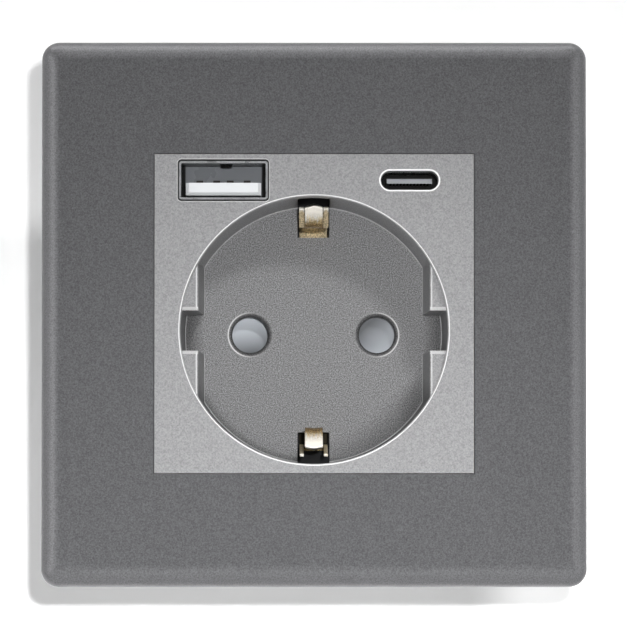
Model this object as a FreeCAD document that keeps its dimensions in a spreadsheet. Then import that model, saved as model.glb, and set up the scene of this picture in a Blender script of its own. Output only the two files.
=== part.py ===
"""Flush wall socket with side earth contacts, a round plug well and two USB charging ports.

Millimetres. X points right, Z up and -Y out of the wall. The origin is the middle of the cover
frame on the wall plane, so the front is at negative Y and the insert behind the wall at positive Y.
"""
import FreeCAD, Part
import math
import os
import re

import Sketcher

Vector = FreeCAD.Vector

os.makedirs("parts", exist_ok=True)
doc = FreeCAD.newDocument("usb_wall_socket")

# Driving dimensions, kept in the document's sheet

SIZES = {
    # cover frame
    "frame_band": 16.7,
    "frame_depth": 11.0,
    "frame_corner": 2.6,
    "frame_edge": 2.5,
    "frame_wall": 1.8,
    "collar_wall": 1.1,
    "collar_depth": 4.8,
    # centre plate
    "plate_margin": 2.55,
    "plate_gap": 0.1,
    "plate_proud": 0.2,
    "plate_skin": 2.0,
    "skirt_wall": 0.9,
    "skirt_gap": 3.5,
    "leg_width": 6.0,
    "leg_hook": 1.25,
    "leg_hook_depth": 1.3,
    "leg_high": 5.0,
    "leg_end": 4.05,
    # plug well
    "well_drop": 2.4,
    "well_depth": 17.5,
    "mouth_radius": 19.8,
    "mouth_chamfer": 0.3,
    "well_taper": 0.55,
    "floor_skin": 2.5,
    "well_wall": 1.2,
    "pad_setback": 2.0,
    "flat_inset": 2.65,
    "flat_taper": 0.8,
    "notch_width": 5.9,
    "pad_chamfer": 0.4,
    "notch_chamfer": 0.6,
    "pin_pitch": 19.0,
    "bore_radius": 2.7,
    "lead_in": 0.65,
    "earth_slot_width": 4.8,
    "earth_slot_reach": 5.2,
    "earth_slot_cover": 3.6,
    # charging ports
    "port_rise": 1.1,
    "port_a_inset": 10.15,
    "port_a_width": 13.2,
    "port_a_height": 5.9,
    "port_c_inset": 9.45,
    "port_c_width": 8.56,
    "port_c_height": 2.82,
    "port_chamfer": 0.25,
    "port_a_corner": 0.45,
    "shell_steel": 0.3,
    "shell_a_play": 0.1,
    "shell_a_drop": 0.22,
    "shell_a_setback": 0.35,
    "tongue_a_side": 2.0,
    "tongue_a_thick": 1.84,
    "tongue_a_drop": 1.25,
    "tongue_a_setback": 1.1,
    "tongue_a_bevel": 0.45,
    "shell_c_width": 8.94,
    "shell_c_height": 3.16,
    "tongue_c_width": 6.69,
    "tongue_c_thick": 0.7,
    "tongue_c_setback": 2.5,
    "port_board_thick": 1.2,
    "carrier_web": 1.0,
    "carrier_foot": 15.9,
    "board_screw_hole": 0.95,
    "board_screw_radius": 0.8,
    "board_screw_head": 1.3,
    "board_screw_head_thick": 1.1,
    # mounting ring
    "ring_inset": 10.5,
    "ring_thick": 1.0,
    "ring_corner": 4.0,
    "ring_clearance": 1.5,
    "ring_tab_shift": 15.0,
    "ring_tab_inset": 3.5,
    "ring_tab_width": 4.0,
    "ring_tab_length": 5.0,
    "box_screw_circle": 60.0,
    "box_screw_radius": 2.1,
    "rivet_shift": 4.5,
    "rivet_offset": 1.6,
    "rivet_radius": 1.0,
    "rivet_head": 1.45,
    # insert behind the wall
    "base_rim": 2.1,
    "base_inset": 1.45,
    "base_cover": 3.7,
    "fit_gap": 0.15,
    "rotor_radius": 12.9,
    "rotor_thick": 2.8,
    "rotor_play": 0.15,
    "post_radius": 1.2,
    "post_play": 0.08,
    "shutter_radius": 3.3,
    "shutter_hub": 4.2,
    "strap_width": 4.2,
    "strap_thick": 0.5,
    "strap_rise": 0.7,
    "foot_inset": 2.7,
    "bow_inset": 0.5,
    "tip_inset": 3.5,
    "arm_inset": 3.0,
    "bow_depth": 6.6,
    "tip_depth": 11.3,
    "arm_depth": 9.6,
    "tongue_width": 2.7,
    "contact_bore": 2.42,
    "contact_metal": 0.6,
    "contact_inset": 1.8,
    "bar_thick": 1.0,
    "bar_half": 1.7,
    # wire terminals
    "terminal_shift": 13.5,
    "terminal_bar": -14.5,
    "earth_terminal_drop": 5.2,
    "cage_half": 3.2,
    "cage_wall": 0.8,
    "cage_foot": 2.0,
    "cage_length": 5.0,
    "cage_window": 4.5,
    "cage_travel": 2.6,
    "clamp_radius": 1.5,
    "clamp_head": 2.6,
    "clamp_head_thick": 2.0,
    "wire_hole": 1.7,
    # supply
    "chamber_side": 13.0,
    "chamber_foot": 3.5,
    "chamber_roof": 7.5,
    "chamber_gap": 2.5,
    "chamber_length": 12.5,
    "supply_board_thick": 1.6,
    "supply_board_lap": 0.4,
    "cover_wall": 1.5,
    "cover_depth": 4.5,
    "housing_screw_inset": 3.4,
    "housing_screw_head": 1.9,
    "housing_screw_head_thick": 1.2,
    "housing_screw_radius": 1.0,
    "housing_screw_high": 13.2,
    "housing_screw_low": -5.0,
    "link_pitch": 2.0,
    "link_half": 0.32,
    "core_shift": 4.6,
    "core_width": 14.0,
    "core_height": 11.0,
    "core_gap": 0.7,
    "core_front_gap": 1.5,
    "core_wall": 1.9,
    "core_window": 5.1,
    "core_leg": 2.5,
    "coil_play": 0.2,
    "bulk_radius": 4.0,
    "bulk_gap": 1.5,
    "output_radius": 2.6,
    "output_gap": 4.5,
    "chip_height": 1.1,
    "fuse_radius": 1.3,
    "fuse_length": 6.8,
    "lead_radius": 0.3,
    # claws
    "claw_offset": 2.5,
    "claw_height": -6.0,
    "claw_half": 3.5,
    "nut_half": 2.5,
    "claw_steel": 1.2,
    "claw_lift": 10.0,
    "claw_travel": 4.5,
    "claw_slope": 35.0,
    "claw_screw_radius": 1.5,
    "claw_screw_head": 2.6,
    "claw_screw_short": 4.0,
    "claw_play": 0.15,
}

# Values that follow from the driving dimensions
DERIVED = {
    "tube_radius": "mouth_radius + well_wall",
    "plate_side": "2 * (tube_radius + plate_margin)",
    "frame_side": "plate_side + 2 * frame_band",
    "front": "-(frame_depth + plate_proud)",
    "skin_back": "front + plate_skin",
    "skirt_end": "-skirt_gap",
    "skirt_inner": "plate_side / 2 - skirt_wall",
    "opening_side": "plate_side + 2 * plate_gap",
    "leg_low": "leg_end - plate_side / 2",
    "floor_radius": "mouth_radius - well_taper",
    "flat_mouth": "mouth_radius - flat_inset",
    "flat_floor": "flat_mouth - flat_taper",
    "earth_slot_inner": "mouth_radius - earth_slot_reach",
    "well_z": "-well_drop",
    "floor_y": "front + well_depth",
    "well_back": "floor_y + floor_skin",
    "pad_y": "front + pad_setback",
    "pin_x": "pin_pitch / 2",
    "port_height": "well_z + tube_radius + port_rise",
    "port_a_shift": "plate_side / 2 - port_a_inset",
    "port_c_shift": "plate_side / 2 - port_c_inset",
    "shell_a_width": "port_a_width - shell_a_play",
    "shell_a_height": "port_a_height - shell_a_drop",
    "tongue_a_width": "shell_a_width - tongue_a_side",
    "board_front": "-port_board_thick",
    "web_front": "board_front - carrier_web",
    "carrier_front": "skin_back + plate_gap",
    "carrier_top": "plate_side / 2 - skirt_wall - fit_gap",
    "link_z": "port_height",
    "ring_side": "frame_side - ring_inset",
    "ring_tab_height": "ring_side / 2 - ring_tab_inset",
    "ring_opening": "plate_side + ring_clearance",
    "rivet_height": "ring_opening / 2 + rivet_offset",
    "base_radius": "rivet_height + base_rim",
    "base_flat": "plate_side / 2 - base_inset",
    "cup_back": "well_back + plate_gap",
    "rotor_front": "cup_back + rotor_play",
    "rotor_back": "rotor_front + rotor_thick",
    "rotor_room": "rotor_back + rotor_play",
    "strap_front": "rotor_room",
    "strap_back": "strap_front + strap_thick",
    "contact_front": "strap_back - 0.1",
    "chamber_floor": "rotor_room + chamber_gap",
    "chamber_half": "base_radius - chamber_side",
    "chamber_top": "base_radius - chamber_roof",
    "chamber_middle": "(chamber_foot + chamber_top) / 2 - 0.1",
    "base_depth": "chamber_floor + chamber_length",
    "core_depth": "chamber_length - core_gap - core_front_gap",
    "bulk_length": "chamber_length - bulk_gap",
    "output_length": "chamber_length - output_gap",
    "board_y": "base_depth",
    "board_back": "base_depth + supply_board_thick",
    "cover_back": "base_depth + cover_depth",
    "contact_back": "base_depth - contact_inset",
    "terminal_depth": "base_depth - base_cover - cage_length / 2",
    "cage_top": "terminal_bar - 0.4 + cage_window + cage_wall",
    "cage_low": "terminal_bar - 0.4 - cage_foot",
    "clamp_head_top": "cage_low - cage_travel - 0.2",
    "housing_screw_shift": "base_flat - housing_screw_inset",
    "claw_shift": "base_flat + claw_offset",
    "claw_depth": "base_depth - claw_lift",
    "claw_screw_length": "base_depth - claw_screw_short",
}

sheet = doc.addObject("Spreadsheet::Sheet", "Sizes")
for row, (alias, value) in enumerate(SIZES.items(), start=1):
    sheet.set(f"A{row}", alias)
    sheet.set(f"B{row}", str(value))
    sheet.setAlias(f"B{row}", alias)
ALIASES = set(SIZES) | set(DERIVED)
WORD = re.compile(r"[a-z][a-z_]*[a-z]")


def bound(text):
    """Expression text with each size's name pointing at the sheet."""
    return WORD.sub(lambda m: f"Sizes.{m.group()}" if m.group() in ALIASES else m.group(), str(text))


for row, (alias, text) in enumerate(DERIVED.items(), start=len(SIZES) + 1):
    sheet.set(f"A{row}", alias)
    sheet.set(f"B{row}", "=" + text)
    sheet.setAlias(f"B{row}", alias)
doc.recompute()


def size(alias):
    """A size's present value as a plain number."""
    value = sheet.get(alias)
    return float(getattr(value, "Value", value))


# Small helpers that make bound primitives, booleans and sketches

counter = {"next": 0}


def fresh(kind, stem):
    counter["next"] += 1
    return doc.addObject(kind, f"{stem}_{counter['next']:03d}")


def bind(thing, **texts):
    """Bind properties to expressions; at_x, at_y and at_z are the placement's base."""
    for name, text in texts.items():
        path = f"Placement.Base.{name[-1]}" if name.startswith("at_") else name
        thing.setExpression(path, bound(text))
    return thing


def block(x, y, z):
    """A box from the low and high ends along each axis."""
    thing = fresh("Part::Box", "block")
    return bind(
        thing,
        Length=f"({x[1]}) - ({x[0]})",
        Width=f"({y[1]}) - ({y[0]})",
        Height=f"({z[1]}) - ({z[0]})",
        at_x=x[0],
        at_y=y[0],
        at_z=z[0],
    )


TURNS = {
    "x": FreeCAD.Rotation(Vector(0, 1, 0), 90),
    "y": FreeCAD.Rotation(Vector(1, 0, 0), -90),
    "z": FreeCAD.Rotation(),
}


def rod(radius, ends, x="0", y="0", z="0", axis="y"):
    """A cylinder along an axis between two ends; the coordinate on that axis is ignored."""
    thing = fresh("Part::Cylinder", "rod")
    thing.Placement = FreeCAD.Placement(Vector(), TURNS[axis])
    at = {"x": x, "y": y, "z": z}
    at[axis] = ends[0]
    bind(thing, Radius=radius, Height=f"({ends[1]}) - ({ends[0]})")
    return bind(thing, at_x=at["x"], at_y=at["y"], at_z=at["z"])


def cone(first, last, ends, x="0", z="0"):
    """A cone along Y, with its radius at each end."""
    thing = fresh("Part::Cone", "cone")
    thing.Placement = FreeCAD.Placement(Vector(), TURNS["y"])
    bind(thing, Radius1=first, Radius2=last, Height=f"({ends[1]}) - ({ends[0]})")
    return bind(thing, at_x=x, at_y=ends[0], at_z=z)


def fuse(*things):
    thing = fresh("Part::MultiFuse", "fuse")
    thing.Shapes = list(things)
    thing.Refine = True
    return thing


def meet(*things):
    thing = fresh("Part::MultiCommon", "meet")
    thing.Shapes = list(things)
    return thing


def cut(base, *tools):
    """The base without the tools."""
    thing = fresh("Part::Cut", "cut")
    thing.Base = base
    thing.Tool = tools[0] if len(tools) == 1 else gather(*tools)
    thing.Refine = True
    return thing


def gather(*things):
    thing = fresh("Part::MultiFuse", "gather")
    thing.Shapes = list(things)
    return thing


def group(*things):
    """Separate like solids in one object."""
    thing = fresh("Part::Compound", "group")
    thing.Links = list(things)
    return thing


PARTS = {}


def finished(label, thing):
    """Name a finished sub-part and list it for writing."""
    thing.Label = label
    PARTS[label] = thing
    return thing


def body_of(name):
    return doc.addObject("PartDesign::Body", name)


def sketch_on(body, role, name, offset=None):
    """A sketch on one of the body's own planes, moved along its normal by a bound offset."""
    sketch = body.newObject("Sketcher::SketchObject", name)
    plane = next(f for f in body.Origin.OriginFeatures if f.Role == role)
    sketch.AttachmentSupport = [(plane, "")]
    sketch.MapMode = "FlatFace"
    if offset is not None:
        sketch.setExpression("AttachmentOffset.Base.z", bound(offset))
    return sketch


def value_of(text):
    """An expression's present value, worked out from the sheet."""
    names = {alias: size(alias) for alias in ALIASES if alias in text}
    probe = doc.getObject("Probe") or doc.addObject("App::FeaturePython", "Probe")
    if "reading" not in probe.PropertiesList:
        probe.addProperty("App::PropertyFloat", "reading")
    if not names:
        return float(text)
    probe.setExpression("reading", bound(text))
    probe.recompute()
    return probe.reading


def outline(sketch, points):
    """A closed outline of straight lines, each corner placed by two bound distances."""
    places = [Vector(value_of(a), value_of(b), 0) for a, b in points]
    first = sketch.GeometryCount
    count = len(places)
    for i, place in enumerate(places):
        sketch.addGeometry(Part.LineSegment(place, places[(i + 1) % count]), False)
    for i in range(count):
        sketch.addConstraint(
            Sketcher.Constraint("Coincident", first + i, 2, first + (i + 1) % count, 1)
        )
    for i, (a, b) in enumerate(points):
        for kind, text, value in (("DistanceX", a, places[i].x), ("DistanceY", b, places[i].y)):
            index = sketch.addConstraint(Sketcher.Constraint(kind, -1, 1, first + i, 1, value))
            sketch.setExpression(f"Constraints[{index}]", bound(text))


def square(sketch, half, x="0", z="0"):
    outline(
        sketch,
        [
            (f"{x} - ({half})", f"{z} - ({half})"),
            (f"{x} + ({half})", f"{z} - ({half})"),
            (f"{x} + ({half})", f"{z} + ({half})"),
            (f"{x} - ({half})", f"{z} + ({half})"),
        ],
    )


def circle(sketch, radius, x="0", z="0"):
    place = Vector(value_of(x), value_of(z), 0)
    index = sketch.addGeometry(Part.Circle(place, Vector(0, 0, 1), value_of(radius)), False)
    for kind, text, value in (("DistanceX", x, place.x), ("DistanceY", z, place.y)):
        held = sketch.addConstraint(Sketcher.Constraint(kind, -1, 1, index, 3, value))
        sketch.setExpression(f"Constraints[{held}]", bound(text))
    held = sketch.addConstraint(Sketcher.Constraint("Radius", index, value_of(radius)))
    sketch.setExpression(f"Constraints[{held}]", bound(radius))


def pad(body, sketch, length, name, reverse=False):
    feature = body.newObject("PartDesign::Pad", name)
    feature.Profile = sketch
    feature.setExpression("Length", bound(length))
    feature.Reversed = reverse
    doc.recompute()
    return feature


def pocket(body, sketch, length, name, reverse=False):
    """A pocket that must take material away."""
    before = body.Shape.Volume
    feature = body.newObject("PartDesign::Pocket", name)
    feature.Profile = sketch
    feature.setExpression("Length", bound(length))
    feature.Reversed = reverse
    doc.recompute()
    if not body.Shape.Volume < before - 1e-6:
        raise RuntimeError(f"{name} cuts nothing")
    return feature


def edges_where(shape, test):
    """Names of the edges whose middle and direction pass a test."""
    names = []
    for index, edge in enumerate(shape.Edges, start=1):
        middle = edge.valueAt((edge.FirstParameter + edge.LastParameter) / 2)
        ends = edge.valueAt(edge.LastParameter) - edge.valueAt(edge.FirstParameter)
        if test(middle, ends):
            names.append(f"Edge{index}")
    return names


def rounded(body, base, names, radius, label):
    feature = body.newObject("PartDesign::Fillet", label)
    feature.Base = (base, names)
    feature.setExpression("Radius", bound(radius))
    doc.recompute()
    return feature


# Cover frame: a hollow moulding with a collar round its opening and clips behind its face


def make_outer_frame():
    body = body_of("outer_frame_body")
    outer = sketch_on(body, "XZ_Plane", "frame_outline")
    square(outer, "frame_side / 2")
    block_pad = pad(body, outer, "frame_depth", "frame_block")
    upright = edges_where(block_pad.Shape, lambda m, d: abs(d.y) > size("frame_depth") / 2)
    corners = rounded(body, block_pad, upright, "frame_corner", "frame_corners")
    front = -size("frame_depth")
    face_edges = edges_where(corners.Shape, lambda m, d: abs(m.y - front) < 1e-4)
    rounded(body, corners, face_edges, "frame_edge", "frame_front_edge")
    hollow = sketch_on(body, "XZ_Plane", "frame_hollow")
    square(hollow, "frame_side / 2 - frame_wall")
    pocket(body, hollow, "frame_depth - frame_wall", "frame_hollowed", reverse=True)
    window = sketch_on(body, "XZ_Plane", "frame_window")
    square(window, "opening_side / 2")
    pocket(body, window, "frame_depth", "frame_windowed", reverse=True)
    collar = sketch_on(body, "XZ_Plane", "frame_collar", "frame_depth - frame_wall")
    square(collar, "opening_side / 2 + collar_wall")
    square(collar, "opening_side / 2")
    pad(body, collar, "collar_depth", "frame_collar_wall", reverse=True)
    clips = sketch_on(body, "XZ_Plane", "frame_clips", "frame_depth - frame_wall")
    for side in (-1, 1):
        for end in (-1, 1):
            for inner in ("ring_tab_height - 1.3", "ring_tab_height + ring_thick + 0.1"):
                outline(
                    clips,
                    [
                        (f"{side} * ring_tab_shift - 2.4", f"{end} * ({inner})"),
                        (f"{side} * ring_tab_shift + 2.4", f"{end} * ({inner})"),
                        (f"{side} * ring_tab_shift + 2.4", f"{end} * ({inner} + 1.2)"),
                        (f"{side} * ring_tab_shift - 2.4", f"{end} * ({inner} + 1.2)"),
                    ],
                )
    pad(body, clips, "frame_depth - frame_wall - 2.5", "frame_clip_ribs", reverse=True)
    return finished("outer_frame", body)


# Centre plate: the face, its skirt with snap legs and the plug well in one moulding


def slotted_round(half_width, half_height, ends, x, z):
    """A bar with half-round sides along Y."""
    core = block(
        (f"{x} - ({half_width}) + ({half_height})", f"{x} + ({half_width}) - ({half_height})"),
        ends,
        (f"{z} - ({half_height})", f"{z} + ({half_height})"),
    )
    caps = [
        rod(half_height, ends, x=f"{x} + ({side}) * (({half_width}) - ({half_height}))", z=z)
        for side in (-1, 1)
    ]
    return fuse(core, *caps)


def flared_round(half_width, half_height, grow, ends, x, z):
    """A bar with half-round sides whose section shrinks by grow from the first end to the last."""
    caps = [
        cone(
            f"{half_height} + {grow}",
            half_height,
            ends,
            x=f"{x} + ({side}) * (({half_width}) - ({half_height}))",
            z=z,
        )
        for side in (-1, 1)
    ]
    wedge = fresh("Part::Wedge", "flare")
    bind(
        wedge,
        Xmin=f"-({half_width}) + ({half_height})",
        Xmax=f"({half_width}) - ({half_height})",
        X2min=f"-({half_width}) + ({half_height})",
        X2max=f"({half_width}) - ({half_height})",
        Zmin=f"-({half_height}) - ({grow})",
        Zmax=f"({half_height}) + ({grow})",
        Z2min=f"-({half_height})",
        Z2max=half_height,
        Ymin="0",
        Ymax=f"({ends[1]}) - ({ends[0]})",
        at_x=x,
        at_y=ends[0],
        at_z=z,
    )
    return fuse(wedge, *caps)


def tapered_block(half_x, half_z, grow, ends, x, z):
    """A four-sided funnel along Y, wider by grow all round at its first end."""
    wedge = fresh("Part::Wedge", "funnel")
    return bind(
        wedge,
        Xmin=f"-({half_x}) - ({grow})",
        Xmax=f"({half_x}) + ({grow})",
        X2min=f"-({half_x})",
        X2max=half_x,
        Zmin=f"-({half_z}) - ({grow})",
        Zmax=f"({half_z}) + ({grow})",
        Z2min=f"-({half_z})",
        Z2max=half_z,
        Ymin="0",
        Ymax=f"({ends[1]}) - ({ends[0]})",
        at_x=x,
        at_y=ends[0],
        at_z=z,
    )


def soft_block(half_x, half_z, corner, ends, x, z):
    """A bar along Y whose four long edges are rounded."""
    pieces = [
        block(
            (f"{x} - ({half_x}) + ({corner})", f"{x} + ({half_x}) - ({corner})"),
            ends,
            (f"{z} - ({half_z})", f"{z} + ({half_z})"),
        ),
        block(
            (f"{x} - ({half_x})", f"{x} + ({half_x})"),
            ends,
            (f"{z} - ({half_z}) + ({corner})", f"{z} + ({half_z}) - ({corner})"),
        ),
    ]
    for side in (-1, 1):
        for end in (-1, 1):
            at_x = f"{x} + ({side}) * (({half_x}) - ({corner}))"
            at_z = f"{z} + ({end}) * (({half_z}) - ({corner}))"
            pieces.append(rod(corner, ends, x=at_x, z=at_z))
    return fuse(*pieces)


def soft_funnel(half_x, half_z, corner, grow, ends, x, z):
    """A funnel along Y with rounded corners, wider by grow all round at its first end."""
    pieces = []
    for wide, tall, grow_x, grow_z in (
        (f"({half_x}) - ({corner})", f"({half_z})", "0", grow),
        (f"({half_x})", f"({half_z}) - ({corner})", grow, "0"),
    ):
        wedge = fresh("Part::Wedge", "funnel")
        bind(
            wedge,
            Xmin=f"-({wide}) - ({grow_x})",
            Xmax=f"({wide}) + ({grow_x})",
            X2min=f"-({wide})",
            X2max=wide,
            Zmin=f"-({tall}) - ({grow_z})",
            Zmax=f"({tall}) + ({grow_z})",
            Z2min=f"-({tall})",
            Z2max=tall,
            Ymin="0",
            Ymax=f"({ends[1]}) - ({ends[0]})",
            at_x=x,
            at_y=ends[0],
            at_z=z,
        )
        pieces.append(wedge)
    for side in (-1, 1):
        for end in (-1, 1):
            at_x = f"{x} + ({side}) * (({half_x}) - ({corner}))"
            at_z = f"{z} + ({end}) * (({half_z}) - ({corner}))"
            pieces.append(cone(f"{corner} + {grow}", corner, ends, x=at_x, z=at_z))
    return fuse(*pieces)


def make_centre_plate():
    body = body_of("plate_blank")
    face = sketch_on(body, "XZ_Plane", "plate_face", "-skin_back")
    square(face, "plate_side / 2")
    pad(body, face, "plate_skin", "plate_skin_pad")
    skirt = sketch_on(body, "XZ_Plane", "plate_skirt", "-skin_back")
    square(skirt, "plate_side / 2")
    square(skirt, "skirt_inner")
    pad(body, skirt, "skirt_end - skin_back", "plate_skirt_pad", reverse=True)
    tube = sketch_on(body, "XZ_Plane", "well_tube", "-skin_back")
    circle(tube, "tube_radius", "0", "well_z")
    pad(body, tube, "well_back - skin_back", "well_tube_pad", reverse=True)

    legs = []
    for side in (-1, 1):
        for middle in ("leg_high", "leg_low"):
            across = (f"{middle} - leg_width / 2", f"{middle} + leg_width / 2")
            stem = ["skirt_inner", "plate_side / 2"]
            hook = ["skirt_inner", "plate_side / 2 + leg_hook"]
            if side < 0:
                stem = ["-plate_side / 2", "-skirt_inner"]
                hook = ["-plate_side / 2 - leg_hook", "-skirt_inner"]
            legs.append(block(stem, ("skirt_end - 1", "plate_gap + leg_hook_depth"), across))
            legs.append(block(hook, ("plate_gap", "plate_gap + leg_hook_depth"), across))
    whole = fuse(body, *legs)

    mouth = cone("mouth_radius", "floor_radius", ("front", "floor_y"), z="well_z")
    lip = cone(
        "mouth_radius + mouth_chamfer",
        "mouth_radius",
        ("front", "front + mouth_chamfer"),
        z="well_z",
    )
    above = block(
        ("-tube_radius", "tube_radius"),
        ("front - 1", "pad_y"),
        ("well_z - tube_radius", "well_z + tube_radius"),
    )
    between = fresh("Part::Wedge", "between_flats")
    bind(
        between,
        Xmin="-flat_mouth",
        Xmax="flat_mouth",
        X2min="-flat_floor",
        X2max="flat_floor",
        Zmin="-tube_radius",
        Zmax="tube_radius",
        Z2min="-tube_radius",
        Z2max="tube_radius",
        Ymin="0",
        Ymax="floor_y - pad_y",
        at_x="0",
        at_y="pad_y",
        at_z="well_z",
    )
    notch = block(
        ("-tube_radius", "tube_radius"),
        ("pad_y - 1", "floor_y"),
        ("well_z - notch_width / 2", "well_z + notch_width / 2"),
    )
    inner_edges = fresh("Part::Wedge", "pad_edges")
    bind(
        inner_edges,
        Xmin="-flat_mouth - pad_chamfer",
        Xmax="flat_mouth + pad_chamfer",
        X2min="-flat_mouth",
        X2max="flat_mouth",
        Zmin="-tube_radius",
        Zmax="tube_radius",
        Z2min="-tube_radius",
        Z2max="tube_radius",
        Ymin="0",
        Ymax="pad_chamfer",
        at_x="0",
        at_y="pad_y",
        at_z="well_z",
    )
    notch_edges = tapered_block(
        "tube_radius", "notch_width / 2", "notch_chamfer", ("pad_y", "pad_y + notch_chamfer"), "0", "well_z"
    )
    well = meet(mouth, gather(above, between, notch, inner_edges, notch_edges))

    holes = []
    for side in (-1, 1):
        x = f"{side} * pin_x"
        holes.append(rod("bore_radius", ("floor_y - 1", "well_back + 1"), x=x, z="well_z"))
        holes.append(
            cone("bore_radius + lead_in", "bore_radius", ("floor_y", "floor_y + lead_in"), x=x, z="well_z")
        )
    slot_x = ("-earth_slot_width / 2", "earth_slot_width / 2")
    slot_y = ("front + earth_slot_cover", "well_back + 1")
    holes.append(block(slot_x, slot_y, ("well_z + earth_slot_inner", "well_z + tube_radius + 1")))
    holes.append(block(slot_x, slot_y, ("well_z - tube_radius - 1", "well_z - earth_slot_inner")))

    ports = [
        soft_block(
            "port_a_width / 2",
            "port_a_height / 2",
            "port_a_corner",
            ("front - 1", "well_back + 1"),
            "-port_a_shift",
            "port_height",
        ),
        soft_funnel(
            "port_a_width / 2",
            "port_a_height / 2",
            "port_a_corner",
            "port_chamfer",
            ("front", "front + port_chamfer"),
            "-port_a_shift",
            "port_height",
        ),
        slotted_round(
            "port_c_width / 2",
            "port_c_height / 2",
            ("front - 1", "skin_back + 1"),
            "port_c_shift",
            "port_height",
        ),
        flared_round(
            "port_c_width / 2",
            "port_c_height / 2",
            "port_chamfer",
            ("front", "front + port_chamfer"),
            "port_c_shift",
            "port_height",
        ),
    ]
    return finished("centre_plate", cut(whole, well, lip, *holes, *ports))


# Charging ports: steel shells, plastic tongues, contacts, their carrier and their board


def make_port_a():
    x = "-port_a_shift"
    ends = ("front + shell_a_setback", "web_front")
    inner_half = ("shell_a_width / 2 - shell_steel", "shell_a_height / 2 - shell_steel")
    outer = soft_block("shell_a_width / 2", "shell_a_height / 2", "port_a_corner", ends, x, "port_height")
    inner = soft_block(
        *inner_half, "port_a_corner - shell_steel", (f"{ends[0]} - 1", f"{ends[1]} + 1"), x, "port_height"
    )
    latch_x = (f"{x} - 0.4", f"{x} + 1.2")
    window = block(
        (f"{latch_x[0]} - 0.15", f"{latch_x[1]} + 0.15"),
        (f"{ends[0]} + 2.4", f"{ends[0]} + 5.2"),
        (f"port_height + {inner_half[1]} - 0.1", "port_height + shell_a_height"),
    )
    latch = block(
        latch_x,
        (f"{ends[0]} + 4.9", f"{ends[0]} + 5.5"),
        (f"port_height + {inner_half[1]} - 0.4", f"port_height + {inner_half[1]} + 0.1"),
    )
    finished("usb_a_shell", fuse(cut(outer, inner, window), latch))

    tongue_low = "port_height - tongue_a_drop - tongue_a_thick / 2"
    tongue_top = "port_height - tongue_a_drop + tongue_a_thick / 2"
    nose_front = "front + tongue_a_setback"
    tongue = block(
        (f"{x} - tongue_a_width / 2", f"{x} + tongue_a_width / 2"),
        (f"{nose_front} + tongue_a_bevel", "web_front"),
        (tongue_low, tongue_top),
    )
    nose = fresh("Part::Wedge", "tongue_nose")
    bind(
        nose,
        Xmin="-tongue_a_width / 2 + tongue_a_bevel",
        Xmax="tongue_a_width / 2 - tongue_a_bevel",
        X2min="-tongue_a_width / 2",
        X2max="tongue_a_width / 2",
        Ymin="0",
        Ymax="tongue_a_bevel",
        Zmin="tongue_a_bevel",
        Zmax="tongue_a_thick",
        Z2min="0",
        Z2max="tongue_a_thick",
        at_x=x,
        at_y=nose_front,
        at_z=tongue_low,
    )
    root = block(
        (f"{x} - ({inner_half[0]}) + 0.05", f"{x} + {inner_half[0]} - 0.05"),
        ("web_front - 1.4", "web_front"),
        (f"port_height - ({inner_half[1]}) + 0.05", f"port_height + {inner_half[1]} - 0.05"),
    )
    strips = []
    bows = []
    for shift in ("-3.5", "-1", "1", "3.5"):
        across = (f"{x} + ({shift}) - 0.5", f"{x} + ({shift}) + 0.5")
        strips.append(
            block(across, (f"{nose_front} + 0.5", "0.5"), (f"{tongue_top} - 0.2", f"{tongue_top} + 0.1"))
        )
        bows.append(
            block(
                across,
                (f"{nose_front} + 1.2", f"{nose_front} + 4.2"),
                (f"{tongue_top} + 0.05", f"{tongue_top} + 0.4"),
            )
        )
    finished("usb_a_tongue", cut(fuse(tongue, nose, root), *[copy_of(s) for s in strips]))
    finished("usb_a_contacts", group(*[fuse(strip, bow) for strip, bow in zip(strips, bows)]))


def copy_of(box):
    """A second box bound as the first, for use as a cutting tool."""
    twin = fresh("Part::Box", "slot")
    for path, text in box.ExpressionEngine:
        twin.setExpression(path, text)
    return twin


def make_port_c():
    x = "port_c_shift"
    ends = ("carrier_front", "web_front")
    outer = slotted_round("shell_c_width / 2", "shell_c_height / 2", ends, x, "port_height")
    inner = slotted_round(
        "shell_c_width / 2 - shell_steel",
        "shell_c_height / 2 - shell_steel",
        (f"{ends[0]} - 1", f"{ends[1]} + 1"),
        x,
        "port_height",
    )
    finished("usb_c_shell", cut(outer, inner))

    tongue = block(
        (f"{x} - tongue_c_width / 2", f"{x} + tongue_c_width / 2"),
        ("front + tongue_c_setback", "web_front"),
        ("port_height - tongue_c_thick / 2", "port_height + tongue_c_thick / 2"),
    )
    root = slotted_round(
        "shell_c_width / 2 - shell_steel - 0.05",
        "shell_c_height / 2 - shell_steel - 0.05",
        ("web_front - 1.2", "web_front"),
        x,
        "port_height",
    )
    strips = []
    for side in (-1, 1):
        for step in range(12):
            shift = (step - 5.5) * 0.5
            middle = f"port_height + ({side}) * tongue_c_thick / 2"
            strips.append(
                block(
                    (f"{x} + ({shift}) - 0.13", f"{x} + ({shift}) + 0.13"),
                    ("front + tongue_c_setback + 0.4", "0.5"),
                    (f"{middle} - 0.06", f"{middle} + 0.06"),
                )
            )
    finished("usb_c_tongue", cut(fuse(tongue, root), *[copy_of(s) for s in strips]))
    finished("usb_c_contacts", group(*strips))


def arched_strip(low, ends):
    """A strip above the plug well, between the skirt's side walls."""
    strip = block(("-carrier_top", "carrier_top"), ends, (low, "carrier_top"))
    return cut(
        strip,
        rod(
            "tube_radius + fit_gap",
            (f"{ends[0]} - 1", f"{ends[1]} + 1"),
            z="well_z",
        ),
    )


PORT_SCREWS = (("8.2 - port_a_shift", "port_height + 1.5"), ("port_c_shift - 7.5", "port_height + 1.2"))


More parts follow.
